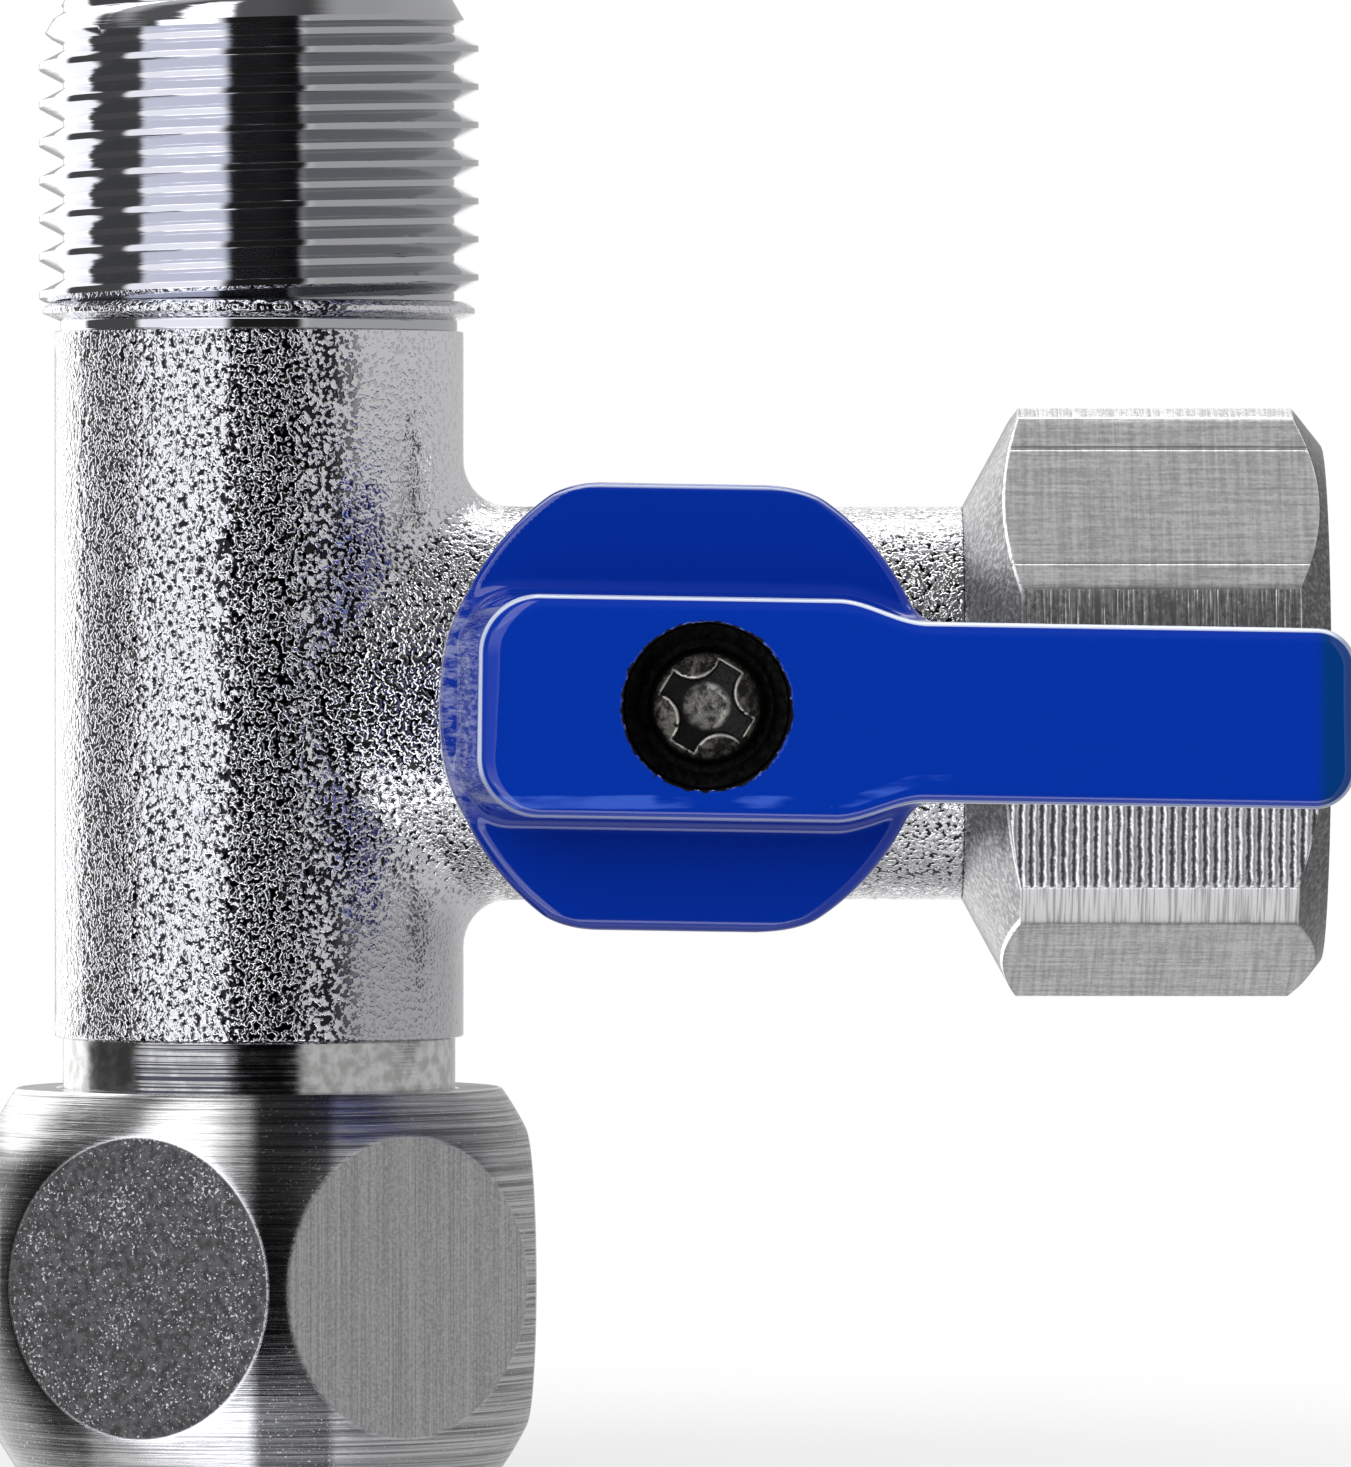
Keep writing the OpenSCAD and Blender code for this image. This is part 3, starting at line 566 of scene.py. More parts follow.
def inlet_tail():
    """Turned tail: a groove for the nut's snap ring, the band that shows above, and a spigot."""
    foot, top = TAIL_LOW[2], TAIL_HIGH[2]
    middle_z = (RUN_FOOT + top) / 2
    groove_r = TAIL_SPIGOT_R - GROOVE_W
    groove_z = (middle_z - GROOVE_W / 2, middle_z + GROOVE_W / 2)
    ring_z = (RING_LOW[2] - RING_PLAY, RING_HIGH[2] + RING_PLAY)
    seam = (TAIL_BORE_R, (foot + top) / 2)
    profile = [
        seam, (TAIL_BORE_R, foot), (TAIL_R, foot), (TAIL_R, ring_z[0]),
        (RING_GROOVE_R, ring_z[0]), (RING_GROOVE_R, ring_z[1]), (TAIL_R, ring_z[1]), (TAIL_R, RUN_FOOT),
        (TAIL_SPIGOT_R, RUN_FOOT), (TAIL_SPIGOT_R, groove_z[0]), (groove_r, groove_z[0]),
        (groove_r, groove_z[1]), (TAIL_SPIGOT_R, groove_z[1]), (TAIL_SPIGOT_R, top),
        (TAIL_BORE_R, top), seam]
    lathe = Lathe(np.zeros(3), Z, X, ROUND)
    return Shell().add(lathe.turned(softened(profile, 0.12))).piece("union_tail")


# ---- shapes worked out as the zero level of a field ------------------------------------------


def round_max(a, b, radius):
    """Intersection of two solids given by their distances, with the edge between them rounded."""
    a, b = a + radius, b + radius
    return np.minimum(np.maximum(a, b), 0) + np.hypot(np.maximum(a, 0), np.maximum(b, 0)) - radius


def round_min(a, b, radius):
    """Union of two solids given by their distances, with a hollow fillet where they meet."""
    return -round_max(-a, -b, radius)


def ease(low, high, value):
    """0 below low, 1 above high, and a cubic that leaves both ends level in between."""
    t = np.clip((value - low) / (high - low), 0, 1)
    return t * t * (3 - 2 * t)


def slope(field, points):
    """Value of a field at points and its unit gradient, with the value scaled to a distance."""
    step = 1e-3
    value = field(points)
    rises = [field(points + step * axis) - field(points - step * axis) for axis in (X, Y, Z)]
    gradient = np.stack(rises, -1) / (2 * step)
    length = np.maximum(np.linalg.norm(gradient, axis=-1, keepdims=True), 1e-6)
    return value[..., None] / length, gradient / length


def net_quads(inside, index):
    """Quads of the net: each grid edge that leaves the solid joins the four cells round it."""
    quads = []
    for axis in range(3):
        order = (axis, (axis + 1) % 3, (axis + 2) % 3)
        state, cell = inside.transpose(order), index.transpose(order)
        here, there = state[:-1, 1:-1, 1:-1], state[1:, 1:-1, 1:-1]
        around = np.stack([cell[:, :-1, :-1], cell[:, 1:, :-1], cell[:, 1:, 1:], cell[:, :-1, 1:]], -1)
        quads.append(around[here & ~there])
        quads.append(around[there & ~here][:, ::-1])
    return np.concatenate(quads)


def relaxed(field, points, quads, step, rounds):
    """Moves a net's points onto the zero level and evens out their spacing along the surface."""
    edges = np.concatenate([quads[:, [0, 1]], quads[:, [1, 2]], quads[:, [2, 3]], quads[:, [3, 0]]])
    count = np.bincount(edges[:, 0], minlength=len(points))[:, None]
    for turn in range(rounds):
        distance, normal = slope(field, points)
        points = points - np.clip(distance, -step, step) * normal
        if turn < rounds - 3:
            sums = [np.bincount(edges[:, 0], points[edges[:, 1], k], len(points)) for k in range(3)]
            drift = np.stack(sums, -1) / count - points
            drift -= np.sum(drift * normal, -1, keepdims=True) * normal
            points = points + 0.5 * drift
    return points


def level_piece(name, field, low, high, step, rounds=14):
    """Closed piece along the zero level of a field, which is negative inside and works in millimetres.

    One point is put in each cell of a regular grid that the level crosses, neighbours are joined, and
    the points then slide onto the level. Their shading normals are the field's own gradient."""
    axes = [np.arange(a, b + step, step) for a, b in zip(low, high)]
    inside = field(np.stack(np.meshgrid(*axes, indexing="ij"), -1)) < 0
    corners = [inside[i:len(axes[0]) - 1 + i, j:len(axes[1]) - 1 + j, k:len(axes[2]) - 1 + k]
               for i in (0, 1) for j in (0, 1) for k in (0, 1)]
    crossed = np.logical_or.reduce(corners) & ~np.logical_and.reduce(corners)
    index = np.where(crossed, np.cumsum(crossed).reshape(crossed.shape) - 1, -1)
    points = (np.argwhere(crossed) + 0.5) * step + np.array([axis[0] for axis in axes])
    quads = net_quads(inside, index)
    points = relaxed(field, points, quads, step, rounds)
    mesh = bpy.data.meshes.new(name)
    mesh.from_pydata(points * MM, [], quads)
    mesh.shade_smooth()
    mesh.normals_split_custom_set_from_vertices(slope(field, points)[1])
    obj = bpy.data.objects.new(name, mesh)
    bpy.context.scene.collection.objects.link(obj)
    return obj, points


def beside_stem(points):
    """Local axes at the lever: along the lever, upwards, out of the underside, and the axis distance."""
    u, v = points[..., 0] - STEM_X, points[..., 2] - BRANCH_Z
    return u, v, HANDLE_HIGH[1] - points[..., 1], np.hypot(u, v)


# ---- lever and screw -------------------------------------------------------------------------

HUB_ARCS = ((0.2, 12.2), (1.22, 11.75))       # for each arc, how far back its centre lies and its radius
HUB_HALF = 10.43
HUB_CORNER = 0.7
WING_H = 3.8
RIB_H = 7.5
RIB_HALF = 5.2
RIB_BACK = 10.3
RIB_CORNER = 2.8
RIB_SLOPE = 0.43              # how far the rib's back runs out per millimetre of height
NECK = (6.0, 10.2)
LEVER_HALF = 4.2
LEVER_L = 30.1
LEVER_FOOT = 2.0
LEVER_CORNER = 1.9
RIB_EDGES = (0.8, 0.6)        # rounding of the rib's face along its upper and its lower side
HUB_EDGES = (0.45, 0.75)
FOOT_EDGE = 0.5
COVE = 0.85
WELL_R = 3.87
WEB_TOP = 3.5
SOCKET_DEPTH = 2.5
SOCKET_FLAT = 2.25
SCREW_HOLE_R = 1.7
GROOVE_HALF = 1.1
GROOVE_REACH = math.radians(57.6)
DROOP = math.radians(0.95)    # the lever hangs a little in the play of its socket
DROP = 0.1
LEVER_STEP = 0.2              # size of the grid's cells, and the grid's margins below and above
LEVER_MARGINS = (0.91, 0.93)


def slab(outline, v, h, foot, top, edges):
    """A flat outline between two heights, whose face is rounded by one radius above and one below."""
    edge = edges[0] + (edges[1] - edges[0]) * ease(2, -4, v)
    return round_max(round_max(outline, h - top, edge), foot - h, FOOT_EDGE)


def lever_field(points):
    """The lever: a hub plate with two flat sides and a rib that narrows to the arm, less its holes.

    The hub's outline lies within two arcs. The outlines droop about the stem and lie a little low,
    while the holes stay in line with it."""
    u, v, h, rho = beside_stem(points)
    along = u * math.cos(DROOP) - (v + DROP) * math.sin(DROOP)
    across = u * math.sin(DROOP) + (v + DROP) * math.cos(DROOP)
    arcs = np.max([np.hypot(along + back, across) - radius for back, radius in HUB_ARCS], axis=0)
    plate = round_max(arcs, np.abs(across) - HUB_HALF, HUB_CORNER)
    hub = slab(plate, across, h, 0, WING_H, HUB_EDGES)
    half = RIB_HALF + (LEVER_HALF - RIB_HALF) * ease(*NECK, along)
    back = -RIB_BACK - along - RIB_SLOPE * (RIB_H - h)
    outline = round_max(np.abs(across) - half, back, RIB_CORNER)
    outline = round_max(outline, along - LEVER_L, LEVER_CORNER)
    rib = slab(outline, across, h, LEVER_FOOT, RIB_H, RIB_EDGES)
    rib = round_max(rib, np.minimum(arcs, -along - 4), 0.6)
    body = round_min(hub, rib, COVE)
    well = round_max(rho - WELL_R, WEB_TOP - h, 0.2)
    socket = np.maximum(np.maximum(rho - STEM_BORE_R, np.abs(v) - SOCKET_FLAT), h - SOCKET_DEPTH)
    angle = np.abs(np.arctan2(v, -u)) - GROOVE_REACH
    groove = np.maximum(np.maximum(np.abs(rho - STOP_R) - GROOVE_HALF, h - STOP_H), angle * STOP_R)
    holes = np.minimum(np.minimum(socket, rho - SCREW_HOLE_R), groove)
    return round_max(round_max(body, -well, 0.12), -holes, 0.1)


HEAD_R = 2.75
HEAD_FOOT = 4.5               # height of the screw's seat above the lever's underside
HEAD_H = 1.6
HEAD_DOME_R = 6.0
SHANK_R = 1.5
SHANK_TIP = -2.5
RECESS_TURN = math.radians(59.0)
RECESS_END = 2.2
RECESS_DEPTH = 1.1
LAND_AT = 1.85
LAND_ROUND_R = 1.23
SCREW_STEP = 0.075
SCREW_MARGIN = 0.21


def recess_outline(u, v):
    """Distance to the cross: square ends on four wings, between four round lands."""
    a = np.abs(u * math.cos(RECESS_TURN) + v * math.sin(RECESS_TURN))
    b = np.abs(v * math.cos(RECESS_TURN) - u * math.sin(RECESS_TURN))
    end = np.maximum(a, b)
    lands = LAND_ROUND_R - np.hypot(a - LAND_AT, b - LAND_AT)
    return round_max(end - RECESS_END, lands, 0.05), end


def screw_field(points):
    """The screw: a domed pan head with a cross recess whose wings rise outwards, and a shank."""
    u, v, h, rho = beside_stem(points)
    top = HEAD_FOOT + HEAD_H
    dome = np.hypot(rho, h - top + HEAD_DOME_R) - HEAD_DOME_R
    head = round_max(round_max(rho - HEAD_R, dome, 0.35), HEAD_FOOT - h, 0.1)
    shank = np.maximum(np.maximum(rho - SHANK_R, h - HEAD_FOOT - 0.3), SHANK_TIP - h)
    outline, end = recess_outline(u, v)
    floor = top - RECESS_DEPTH + 0.35 * np.maximum(end - 0.75, 0)
    recess = np.maximum(outline + 0.12 * (top - h), floor - h)
    return round_max(np.minimum(head, shank), -recess, 0.06)


def shown_rim_glint(obj, points):
    """Keeps on each point how near it is to the recess's upper rim, where a painted highlight goes."""
    u, v, h, _ = beside_stem(points)
    rim = np.hypot(recess_outline(u, v)[0], np.maximum(HEAD_FOOT + HEAD_H - 0.3 - h, 0) / 2)
    rim_glint = obj.data.attributes.new("rim_glint", "FLOAT", "POINT")
    rim_glint.data.foreach_set("value", 1 - ease(0.02, 0.14, rim))


def lever():
    """The enamelled lever handle."""
    low, high = HANDLE_LOW - LEVER_MARGINS[0], HANDLE_HIGH + LEVER_MARGINS[1]
    return level_piece("lever_handle", lever_field, low, high, LEVER_STEP)[0]


def screw():
    """The black screw that holds the lever."""
    low, high = SCREW_LOW - SCREW_MARGIN, SCREW_HIGH + SCREW_MARGIN
    obj, points = level_piece("lever_screw", screw_field, low, high, SCREW_STEP)
    shown_rim_glint(obj, points)
    return obj


# ---- shader maths ----------------------------------------------------------------------------


class Wire:
    """An output socket; arithmetic on it adds Math nodes."""

    def __init__(self, paint, socket):
        self.paint = paint
        self.socket = socket

    def maths(self, operation, *values):
        """One Math node of that operation on values, which may be wires or numbers."""
        return self.paint.node("ShaderNodeMath", {"operation": operation}, dict(enumerate(values)))

    def __add__(self, other):
        return self.maths("ADD", self, other)

    def __radd__(self, other):
        return self.maths("ADD", other, self)

    def __sub__(self, other):
        return self.maths("SUBTRACT", self, other)

    def __rsub__(self, other):
        return self.maths("SUBTRACT", other, self)

    def __mul__(self, other):
        return self.maths("MULTIPLY", self, other)

    def __rmul__(self, other):
        return self.maths("MULTIPLY", other, self)

    def __pow__(self, other):
        return self.maths("POWER", self, other)

    def __neg__(self):
        return self.maths("MULTIPLY", self, -1)

    def __abs__(self):
        return self.maths("ABSOLUTE", self)

    def most(self, other):
        """The larger of this and another value."""
        return self.maths("MAXIMUM", self, other)

    def step(self, low, high, start=0.0, stop=1.0):
        """Start below low, stop above high, and a smooth rise between them."""
        ends = {"Value": self, "From Min": low, "From Max": high, "To Min": start, "To Max": stop}
        return self.paint.node("ShaderNodeMapRange", {"interpolation_type": "SMOOTHSTEP"}, ends)

    def within(self, low, high, soft):
        """One between low and high, fading to nothing over a soft edge outside them."""
        return self.step(low - soft, low) * self.step(high, high + soft, 1.0, 0.0)


class Paint:
    """Builds a node tree: node() makes one node of a type, with its settings and its sockets' values."""

    def __init__(self, tree):
        self.tree = tree
        tree.nodes.clear()

    def node(self, kind, settings=None, values=None, out=0):
        """Adds a node, sets its settings and then its sockets, and returns one of its outputs, if any."""
        made = self.tree.nodes.new(kind)
        for name, value in (settings or {}).items():
            setattr(made, name, value)
        for name, value in (values or {}).items():
            if isinstance(value, Wire):
                self.tree.links.new(value.socket, made.inputs[name])
            else:
                made.inputs[name].default_value = value
        return Wire(self, made.outputs[out]) if made.outputs else None

    def place(self):
        """Position on the object, in millimetres."""
        spot = self.node("ShaderNodeTexCoord", out="Object")
        return self.node("ShaderNodeVectorMath", {"operation": "SCALE"}, {0: spot, "Scale": 1 / MM})

    def split(self, vector):
        """The three parts of a vector."""
        first = self.node("ShaderNodeSeparateXYZ", values={0: vector})
        outputs = first.socket.node.outputs
        return [Wire(self, outputs[k]) for k in range(3)]

    def joined(self, x, y, z):
        """A vector from its three parts."""
        return self.node("ShaderNodeCombineXYZ", values={0: x, 1: y, 2: z})

    def noise(self, where, scale, detail=2.0, rough=0.5):
        """Fractal noise, about 0.5 on average, with scale features per millimetre."""
        values = {"Vector": where, "Scale": scale, "Detail": detail, "Roughness": rough}
        return self.node("ShaderNodeTexNoise", values=values)

    def colour(self, mask, low, high):
        """Mix of two colours."""
        return self.node("ShaderNodeMix", {"data_type": "RGBA"}, {0: mask, 6: low, 7: high}, out=2)

    def bump(self, height, depth, under=None):
        """Normal from a height in millimetres times depth, on top of another bump if there is one."""
        values = {"Height": height, "Distance": depth * MM, "Strength": 1.0}
        if under:
            values["Normal"] = under
        return self.node("ShaderNodeBump", values=values)

    def surface(self, **values):
        """A principled shader whose sockets take these values, wired to the output."""
        values = {name.replace("_", " "): value for name, value in values.items()}
        self.finish(self.node("ShaderNodeBsdfPrincipled", values=values))

    def finish(self, shader):
        """Wires a shader to the output of the material or the world."""
        owner = "World" if isinstance(self.tree.id_data, bpy.types.World) else "Material"
        self.node("ShaderNodeOutput" + owner, values={"Surface": shader})


def painted(name):
    """A new material and the paint that builds it."""
    material = bpy.data.materials.new(name)
    material.use_nodes = True
    return material, Paint(material.node_tree)


def rgb(red, green, blue):
    """Linear colour of a display colour from 0 to 255."""
    value = np.array([red, green, blue]) / 255
    linear = np.where(value <= 0.04045, value / 12.92, ((value + 0.055) / 1.055) ** 2.4)
    return (*linear.tolist(), 1.0)


def grey(level):
    """Linear colour of an even display grey from 0 to 255."""
    return rgb(level, level, level)


# ---- finishes --------------------------------------------------------------------------------

PLATE = rgb(238, 238, 241)


def forging_finish():
    """Plated forging: a blasted skin outside, and turned metal on the thread, its land and the bores.

    The skin's height is noise with grains of about a fifth of a millimetre, squeezed so that flat
    tops and floors meet in steep sides, and its deepest pits are darkened with painted shade. It is
    roughest in a strip down the middle of the run, plainest on the branch's side above and below the
    branch, with fewer shaded pits towards the far side, and faint painted shade lies low on the
    branch's side. Turned metal has fine rings along its axis instead, with painted light on the far
    side and a little painted shade on the branch's side."""
    material, paint = painted("plated_forging")
    where = paint.place()
    x, y, z = paint.split(where)
    land_z = UNDERCUT_Z + UNDERCUT_W
    ring = z.within(land_z + 0.1, land_z + LAND_W - 0.08, 0.08)
    turned = z.step(UNDERCUT_Z - 0.05, UNDERCUT_Z + 0.02) * (1 - ring)
    roughest = x.within(-0.9, 4.4, 0.9)
    plain = x.step(3.5, 6.0) * abs(z - BRANCH_Z).step(7.5, 10.0)
    grain = paint.noise(where, 4.1, 1.0, 0.5)
    # painted shade: the skin's deepest pits are darkened, more of them in the roughest strip and fewer
    # towards the far side and where the skin is plain
    pit_shade = (grain - 0.085 * roughest).step(0.37, 0.43, 1.0, 0.0)
    pit_shade = pit_shade * x.step(-8.0, -5.5, 0.25, 1.0) * (1 - 0.8 * plain)
    # painted shade: a faint darker tone low on the branch's side of the run
    low_side_shade = 0.5 * x.within(4.5, 9.0, 1.0)
    low_side_shade = low_side_shade * z.step(BRANCH_Z - 11.0, BRANCH_Z - 8.0, 1.0, 0.0)
    rings = paint.noise(paint.joined(x * 0.03, y * 0.03, z * 9.0), 1.0, 3.0, 0.6)
    skin = grain.step(0.39, 0.61) + 2.0 * paint.noise(where, 1.8, 1.0)
    skin = skin * (1 - turned) * (1 - 0.45 * plain + 0.25 * roughest)
    normal = paint.bump(rings * turned, 0.006, paint.bump(skin, 0.034))
    blasted = paint.colour(pit_shade, paint.colour(low_side_shade, PLATE, rgb(150, 150, 156)), rgb(44, 44, 48))
    # painted light on the turned metal's far side and painted shade on its branch's side
    turned_light_and_shade = paint.colour(x.step(0.5, 2.5), rgb(232, 233, 238), rgb(196, 197, 200))
    base = paint.colour(turned, blasted, turned_light_and_shade)
    paint.surface(Base_Color=base, Metallic=1.0, Roughness=0.07, Normal=normal)
    return material


def turned_finish(name, along, spacing=13.0):
    """Plated bar turned on a lathe: faintly clouded, with fine rings along one axis.

    spacing is the number of rings per millimetre, and over part of the round they are dark scores."""
    material, paint = painted(name)
    where = paint.place()
    parts = paint.split(where)
    scored = parts[0].within(-5.2, 1.6, 0.8)
    parts = [part * (spacing if k == along else 0.05) for k, part in enumerate(parts)]
    rings = paint.noise(paint.joined(*parts), 1.0, 3.0, 0.65)
    blotch = paint.noise(where, 1.4, 3.0)
    score = (0.35 * blotch + rings.step(0.44, 0.56) * scored).step(0.15, 0.9)
    clouded = paint.colour(blotch.step(0.35, 0.65), rgb(184, 184, 182), grey(226))
    base = paint.colour(score, clouded, rgb(84, 84, 94))
    rough = 0.05 + 0.2 * blotch
    paint.surface(Base_Color=base, Metallic=1.0, Roughness=rough, Normal=paint.bump(rings, 0.01))
    return material


def facet_distance(parts, turn):
    """How far a point lies along the nearest facet's normal.

    parts are the two positions across the hexagon's axis, and turn is the angle of one facet."""
    first, second = parts
    turns = [turn + SIDE * k for k in range(3)]
    reaches = [abs(first * math.cos(one) + second * math.sin(one)) for one in turns]
    return reaches[0].most(reaches[1]).most(reaches[2])


def nut_finish():
    """Union nut: a barrel with lathe rings and six facets, pitted ones and planed ones by turns.

    The cosine of three times the angle round the nut tells one kind of facet from the other. The
    pitted facets are in dark painted shade and the planed ones in painted light. Across the nut, the
    barrel has painted shade at the far end from the branch and again just past the middle, and
    painted light between the two and on its shoulder. A painted highlight runs round each pitted
    facet, and painted glints are strewn over the pitted facets and the barrel."""
    material, paint = painted("plated_nut")
    where = paint.place()
    x, y, z = paint.split(where)
    turn = NUT_TURN + SIDE / 2 - math.pi / 2
    reach = facet_distance((x, y), turn)
    facet = reach.step(NUT_APOTHEM - 0.035, NUT_APOTHEM - 0.01)
    swing = 3 * (x.maths("ARCTAN2", y, x) - turn)
    planed = swing.maths("COSINE", swing).step(-0.05, 0.05)
    rings = paint.noise(paint.joined(x * 0.05, y * 0.05, z * 9.0), 1.0, 4.0, 0.7)
    lines = paint.noise(paint.joined(x * 9.0, y * 9.0, z * 0.06), 1.0, 4.0, 0.8)
    patches = paint.noise(where, 0.5, 2.0)
    dust_and_glints = paint.noise(where, 6.5, 2.0, 0.75)
    pits = paint.noise(where, 2.6, 3.0, 0.7).step(0.35, 0.65)
    # painted glints: bright specks strewn on the pitted facets
    painted_glint = (dust_and_glints + 0.2 * (patches - 0.5)).step(0.6, 0.68)

    # pitted facets: pits in a dark tone that is painted shade, with painted glints
    pitted_shaded_tone = paint.colour(pits, rgb(70, 70, 69), rgb(104, 104, 103))
    pitted_shaded_tone = paint.colour(painted_glint, pitted_shaded_tone, rgb(232, 232, 233))
    # planed facets: lines and specks in a lighter tone that is painted light
    planed_lit_tone = paint.colour((0.6 * lines + 0.4 * dust_and_glints).step(0.38, 0.62), grey(154), grey(200))
    ringed = rings.step(0.35, 0.65)
    plain = paint.colour(ringed, rgb(122, 122, 123), rgb(214, 214, 216))
    # the barrel's tone in painted shade
    shaded_barrel = paint.colour(ringed, rgb(74, 74, 75), rgb(128, 128, 129))
    # the barrel's tone in painted light
    lit_barrel = paint.colour(rings.step(0.36, 0.5), rgb(176, 176, 178), rgb(252, 252, 253))
    shoulder = z.step(NUT_HIGH[2] - 3.6, NUT_HIGH[2] - 2.2)
    # where the barrel takes painted shade: the far end from the branch, less on the shoulder, and just
    # past the middle
    barrel_shade_mask = (x.step(-9.6, -7.8, 1.0, 0.0) * (1 - 0.9 * shoulder)).most(x.within(0.2, 3.4, 0.7))
    # where the barrel takes painted light: between the two shaded places and on the shoulder
    barrel_light_mask = x.within(-7.2, -0.4, 0.9).most(0.8 * shoulder * x.within(-11.5, -5.0, 0.9))
    # painted highlight: a bright line round each pitted facet
    rim = reach.within(NUT_APOTHEM - 0.06, NUT_APOTHEM - 0.03, 0.015)
    rim = rim * (1 - 0.8 * planed) * dust_and_glints.step(0.35, 0.5)
    barrel = paint.colour(barrel_light_mask, paint.colour(barrel_shade_mask, plain, shaded_barrel), lit_barrel)
    # painted glints: bright specks strewn on the barrel
    barrel = paint.colour(0.6 * dust_and_glints.step(0.62, 0.7), barrel, rgb(240, 240, 242))
    barrel = paint.colour(rim, barrel, rgb(248, 248, 250))

    base = paint.colour(facet, barrel, paint.colour(planed, pitted_shaded_tone, planed_lit_tone))
    height = (1 - facet) * 1.2 * rings + facet * (planed * lines * 0.4 + (1 - planed) * dust_and_glints)
    rough = 0.2 + 0.15 * facet
    paint.surface(Base_Color=base, Metallic=1.0, Roughness=rough, Normal=paint.bump(height, 0.02))
    return material


def cap_finish():
    """Outlet cap: mill lines on its facets, lathe rings on the bands between them, and a duller grain.

    The mill lines run both ways and in faint bands, with two long scores above; the facets above the
    middle are in painted light and those below in painted shade. On the facet that faces forwards
    and the one behind, coarser lines take their place, and ridges below the middle, which are the
    sine of x with a slow wander and carry painted highlights on their crests and painted shade
    between them. The grain is on the cone and the chamfer, and the chamfer is in painted shade. A
    painted highlight runs along the cone's edge against the facets."""
    material, paint = painted("plated_cap")
    where = paint.place()
    x, y, z = paint.split(where)
    up = z - BRANCH_Z
    cone_end, chamfer_x = BRANCH_END + CAP_CONE_L, CAP_HIGH[0] - CAP_CHAMFER_L
    reach = facet_distance((y, up), CAP_TURN)
    facet = reach.step(CAP_APOTHEM - 0.035, CAP_APOTHEM - 0.01)
    front = abs(y * math.cos(CAP_TURN) + up * math.sin(CAP_TURN))
    front = front.step(CAP_APOTHEM - 0.05, CAP_APOTHEM - 0.01)
    strong = front * up.step(-3.0, 1.0, 1.0, 0.0)
    barrel = (1 - facet) * x.within(cone_end, chamfer_x, 0.1)
    mouth = x.step(chamfer_x - 0.1, chamfer_x + 0.1)
    phase = (x + 0.12 * paint.noise(where, 0.9, 2.0)) * (TURN / RIDGE_STEP)
    ridge = phase.maths("SINE", phase)
    cross = paint.noise(paint.joined(x * 4.0, y * 0.12, z * 0.12), 1.0, 3.0, 0.6)
    along = paint.noise(paint.joined(x * 0.25, y * 4.0, z * 4.0), 1.0, 4.0, 0.7)
    ribs = paint.noise(paint.joined(x * 7.0, y * 0.2, z * 0.2), 1.0, 2.0, 0.5)
    grain = paint.noise(where, 4.0, 2.0, 0.6)
    mill = 0.42 * along + 0.33 * cross + 0.25 * grain
    scores = up.within(12.0, 12.04, 0.04) + up.within(6.6, 6.62, 0.04)
    scored = up.within(12.14, 12.18, 0.04) + 0.6 * up.within(6.7, 6.72, 0.03)

    # painted light on the facets above the middle and painted shade on those below
    upper = up.step(-2.0, 2.0)
    milled_low = paint.colour(upper, grey(158), grey(200))
    milled_high = paint.colour(upper, grey(224), grey(254))
    tone = paint.colour(mill.step(0.38, 0.62), milled_low, milled_high)
    tone = paint.colour(scored * 0.7, tone, grey(96))
    uneven = 1.6 * (grain - 0.5) + 0.9 * (cross - 0.5)
    # painted highlight on the ridges' crests and painted shade between them, with noise
    ridge_light_and_shade = (0.5 + 0.5 * ridge + uneven).step(0.05, 0.65)
    ridge_light_and_shade = paint.colour(ridge_light_and_shade, grey(118), rgb(250, 250, 251))
    lined = (0.5 * ribs + 0.5 * grain).step(0.42, 0.58)
    lined = paint.colour(lined, rgb(206, 206, 207), grey(254))
    lined_low = paint.colour(ribs.step(0.38, 0.56), rgb(196, 196, 198), rgb(252, 252, 253))
    lined = paint.colour(up.step(-6.0, -4.0, 1.0, 0.0), lined, lined_low)
    tone = paint.colour(front, tone, paint.colour(strong, lined, ridge_light_and_shade))
    # painted highlight: a bright line along the cone's edge against the facets
    rim = reach.within(CAP_APOTHEM - 0.2, CAP_APOTHEM - 0.04, 0.04)
    rim = rim * x.step(BRANCH_END + 4.0, BRANCH_END + 4.6, 1.0, 0.0) * grain.step(0.3, 0.45)
    # painted shade on the chamfer, darker than the cone
    dull_shade_and_highlight = paint.colour(mouth, rgb(122, 122, 124), rgb(92, 92, 94))
    dull_shade_and_highlight = paint.colour(grain.step(0.35, 0.8) * (1 - 0.6 * mouth), dull_shade_and_highlight, rgb(198, 198, 200))
    dull_shade_and_highlight = paint.colour(rim, dull_shade_and_highlight, grey(252))

    base = paint.colour(facet, paint.colour(barrel, dull_shade_and_highlight, lined), tone)
    height = facet * (0.5 * mill + strong * (0.4 * ridge + 0.3 * grain) - 0.5 * scores)
    height = height + barrel * 0.6 * ribs + (1 - facet - barrel) * 0.35 * grain
    rough = 0.26 + 0.08 * facet
    paint.surface(Base_Color=base, Metallic=1.0, Roughness=rough, Normal=paint.bump(height, 0.05))
    return material


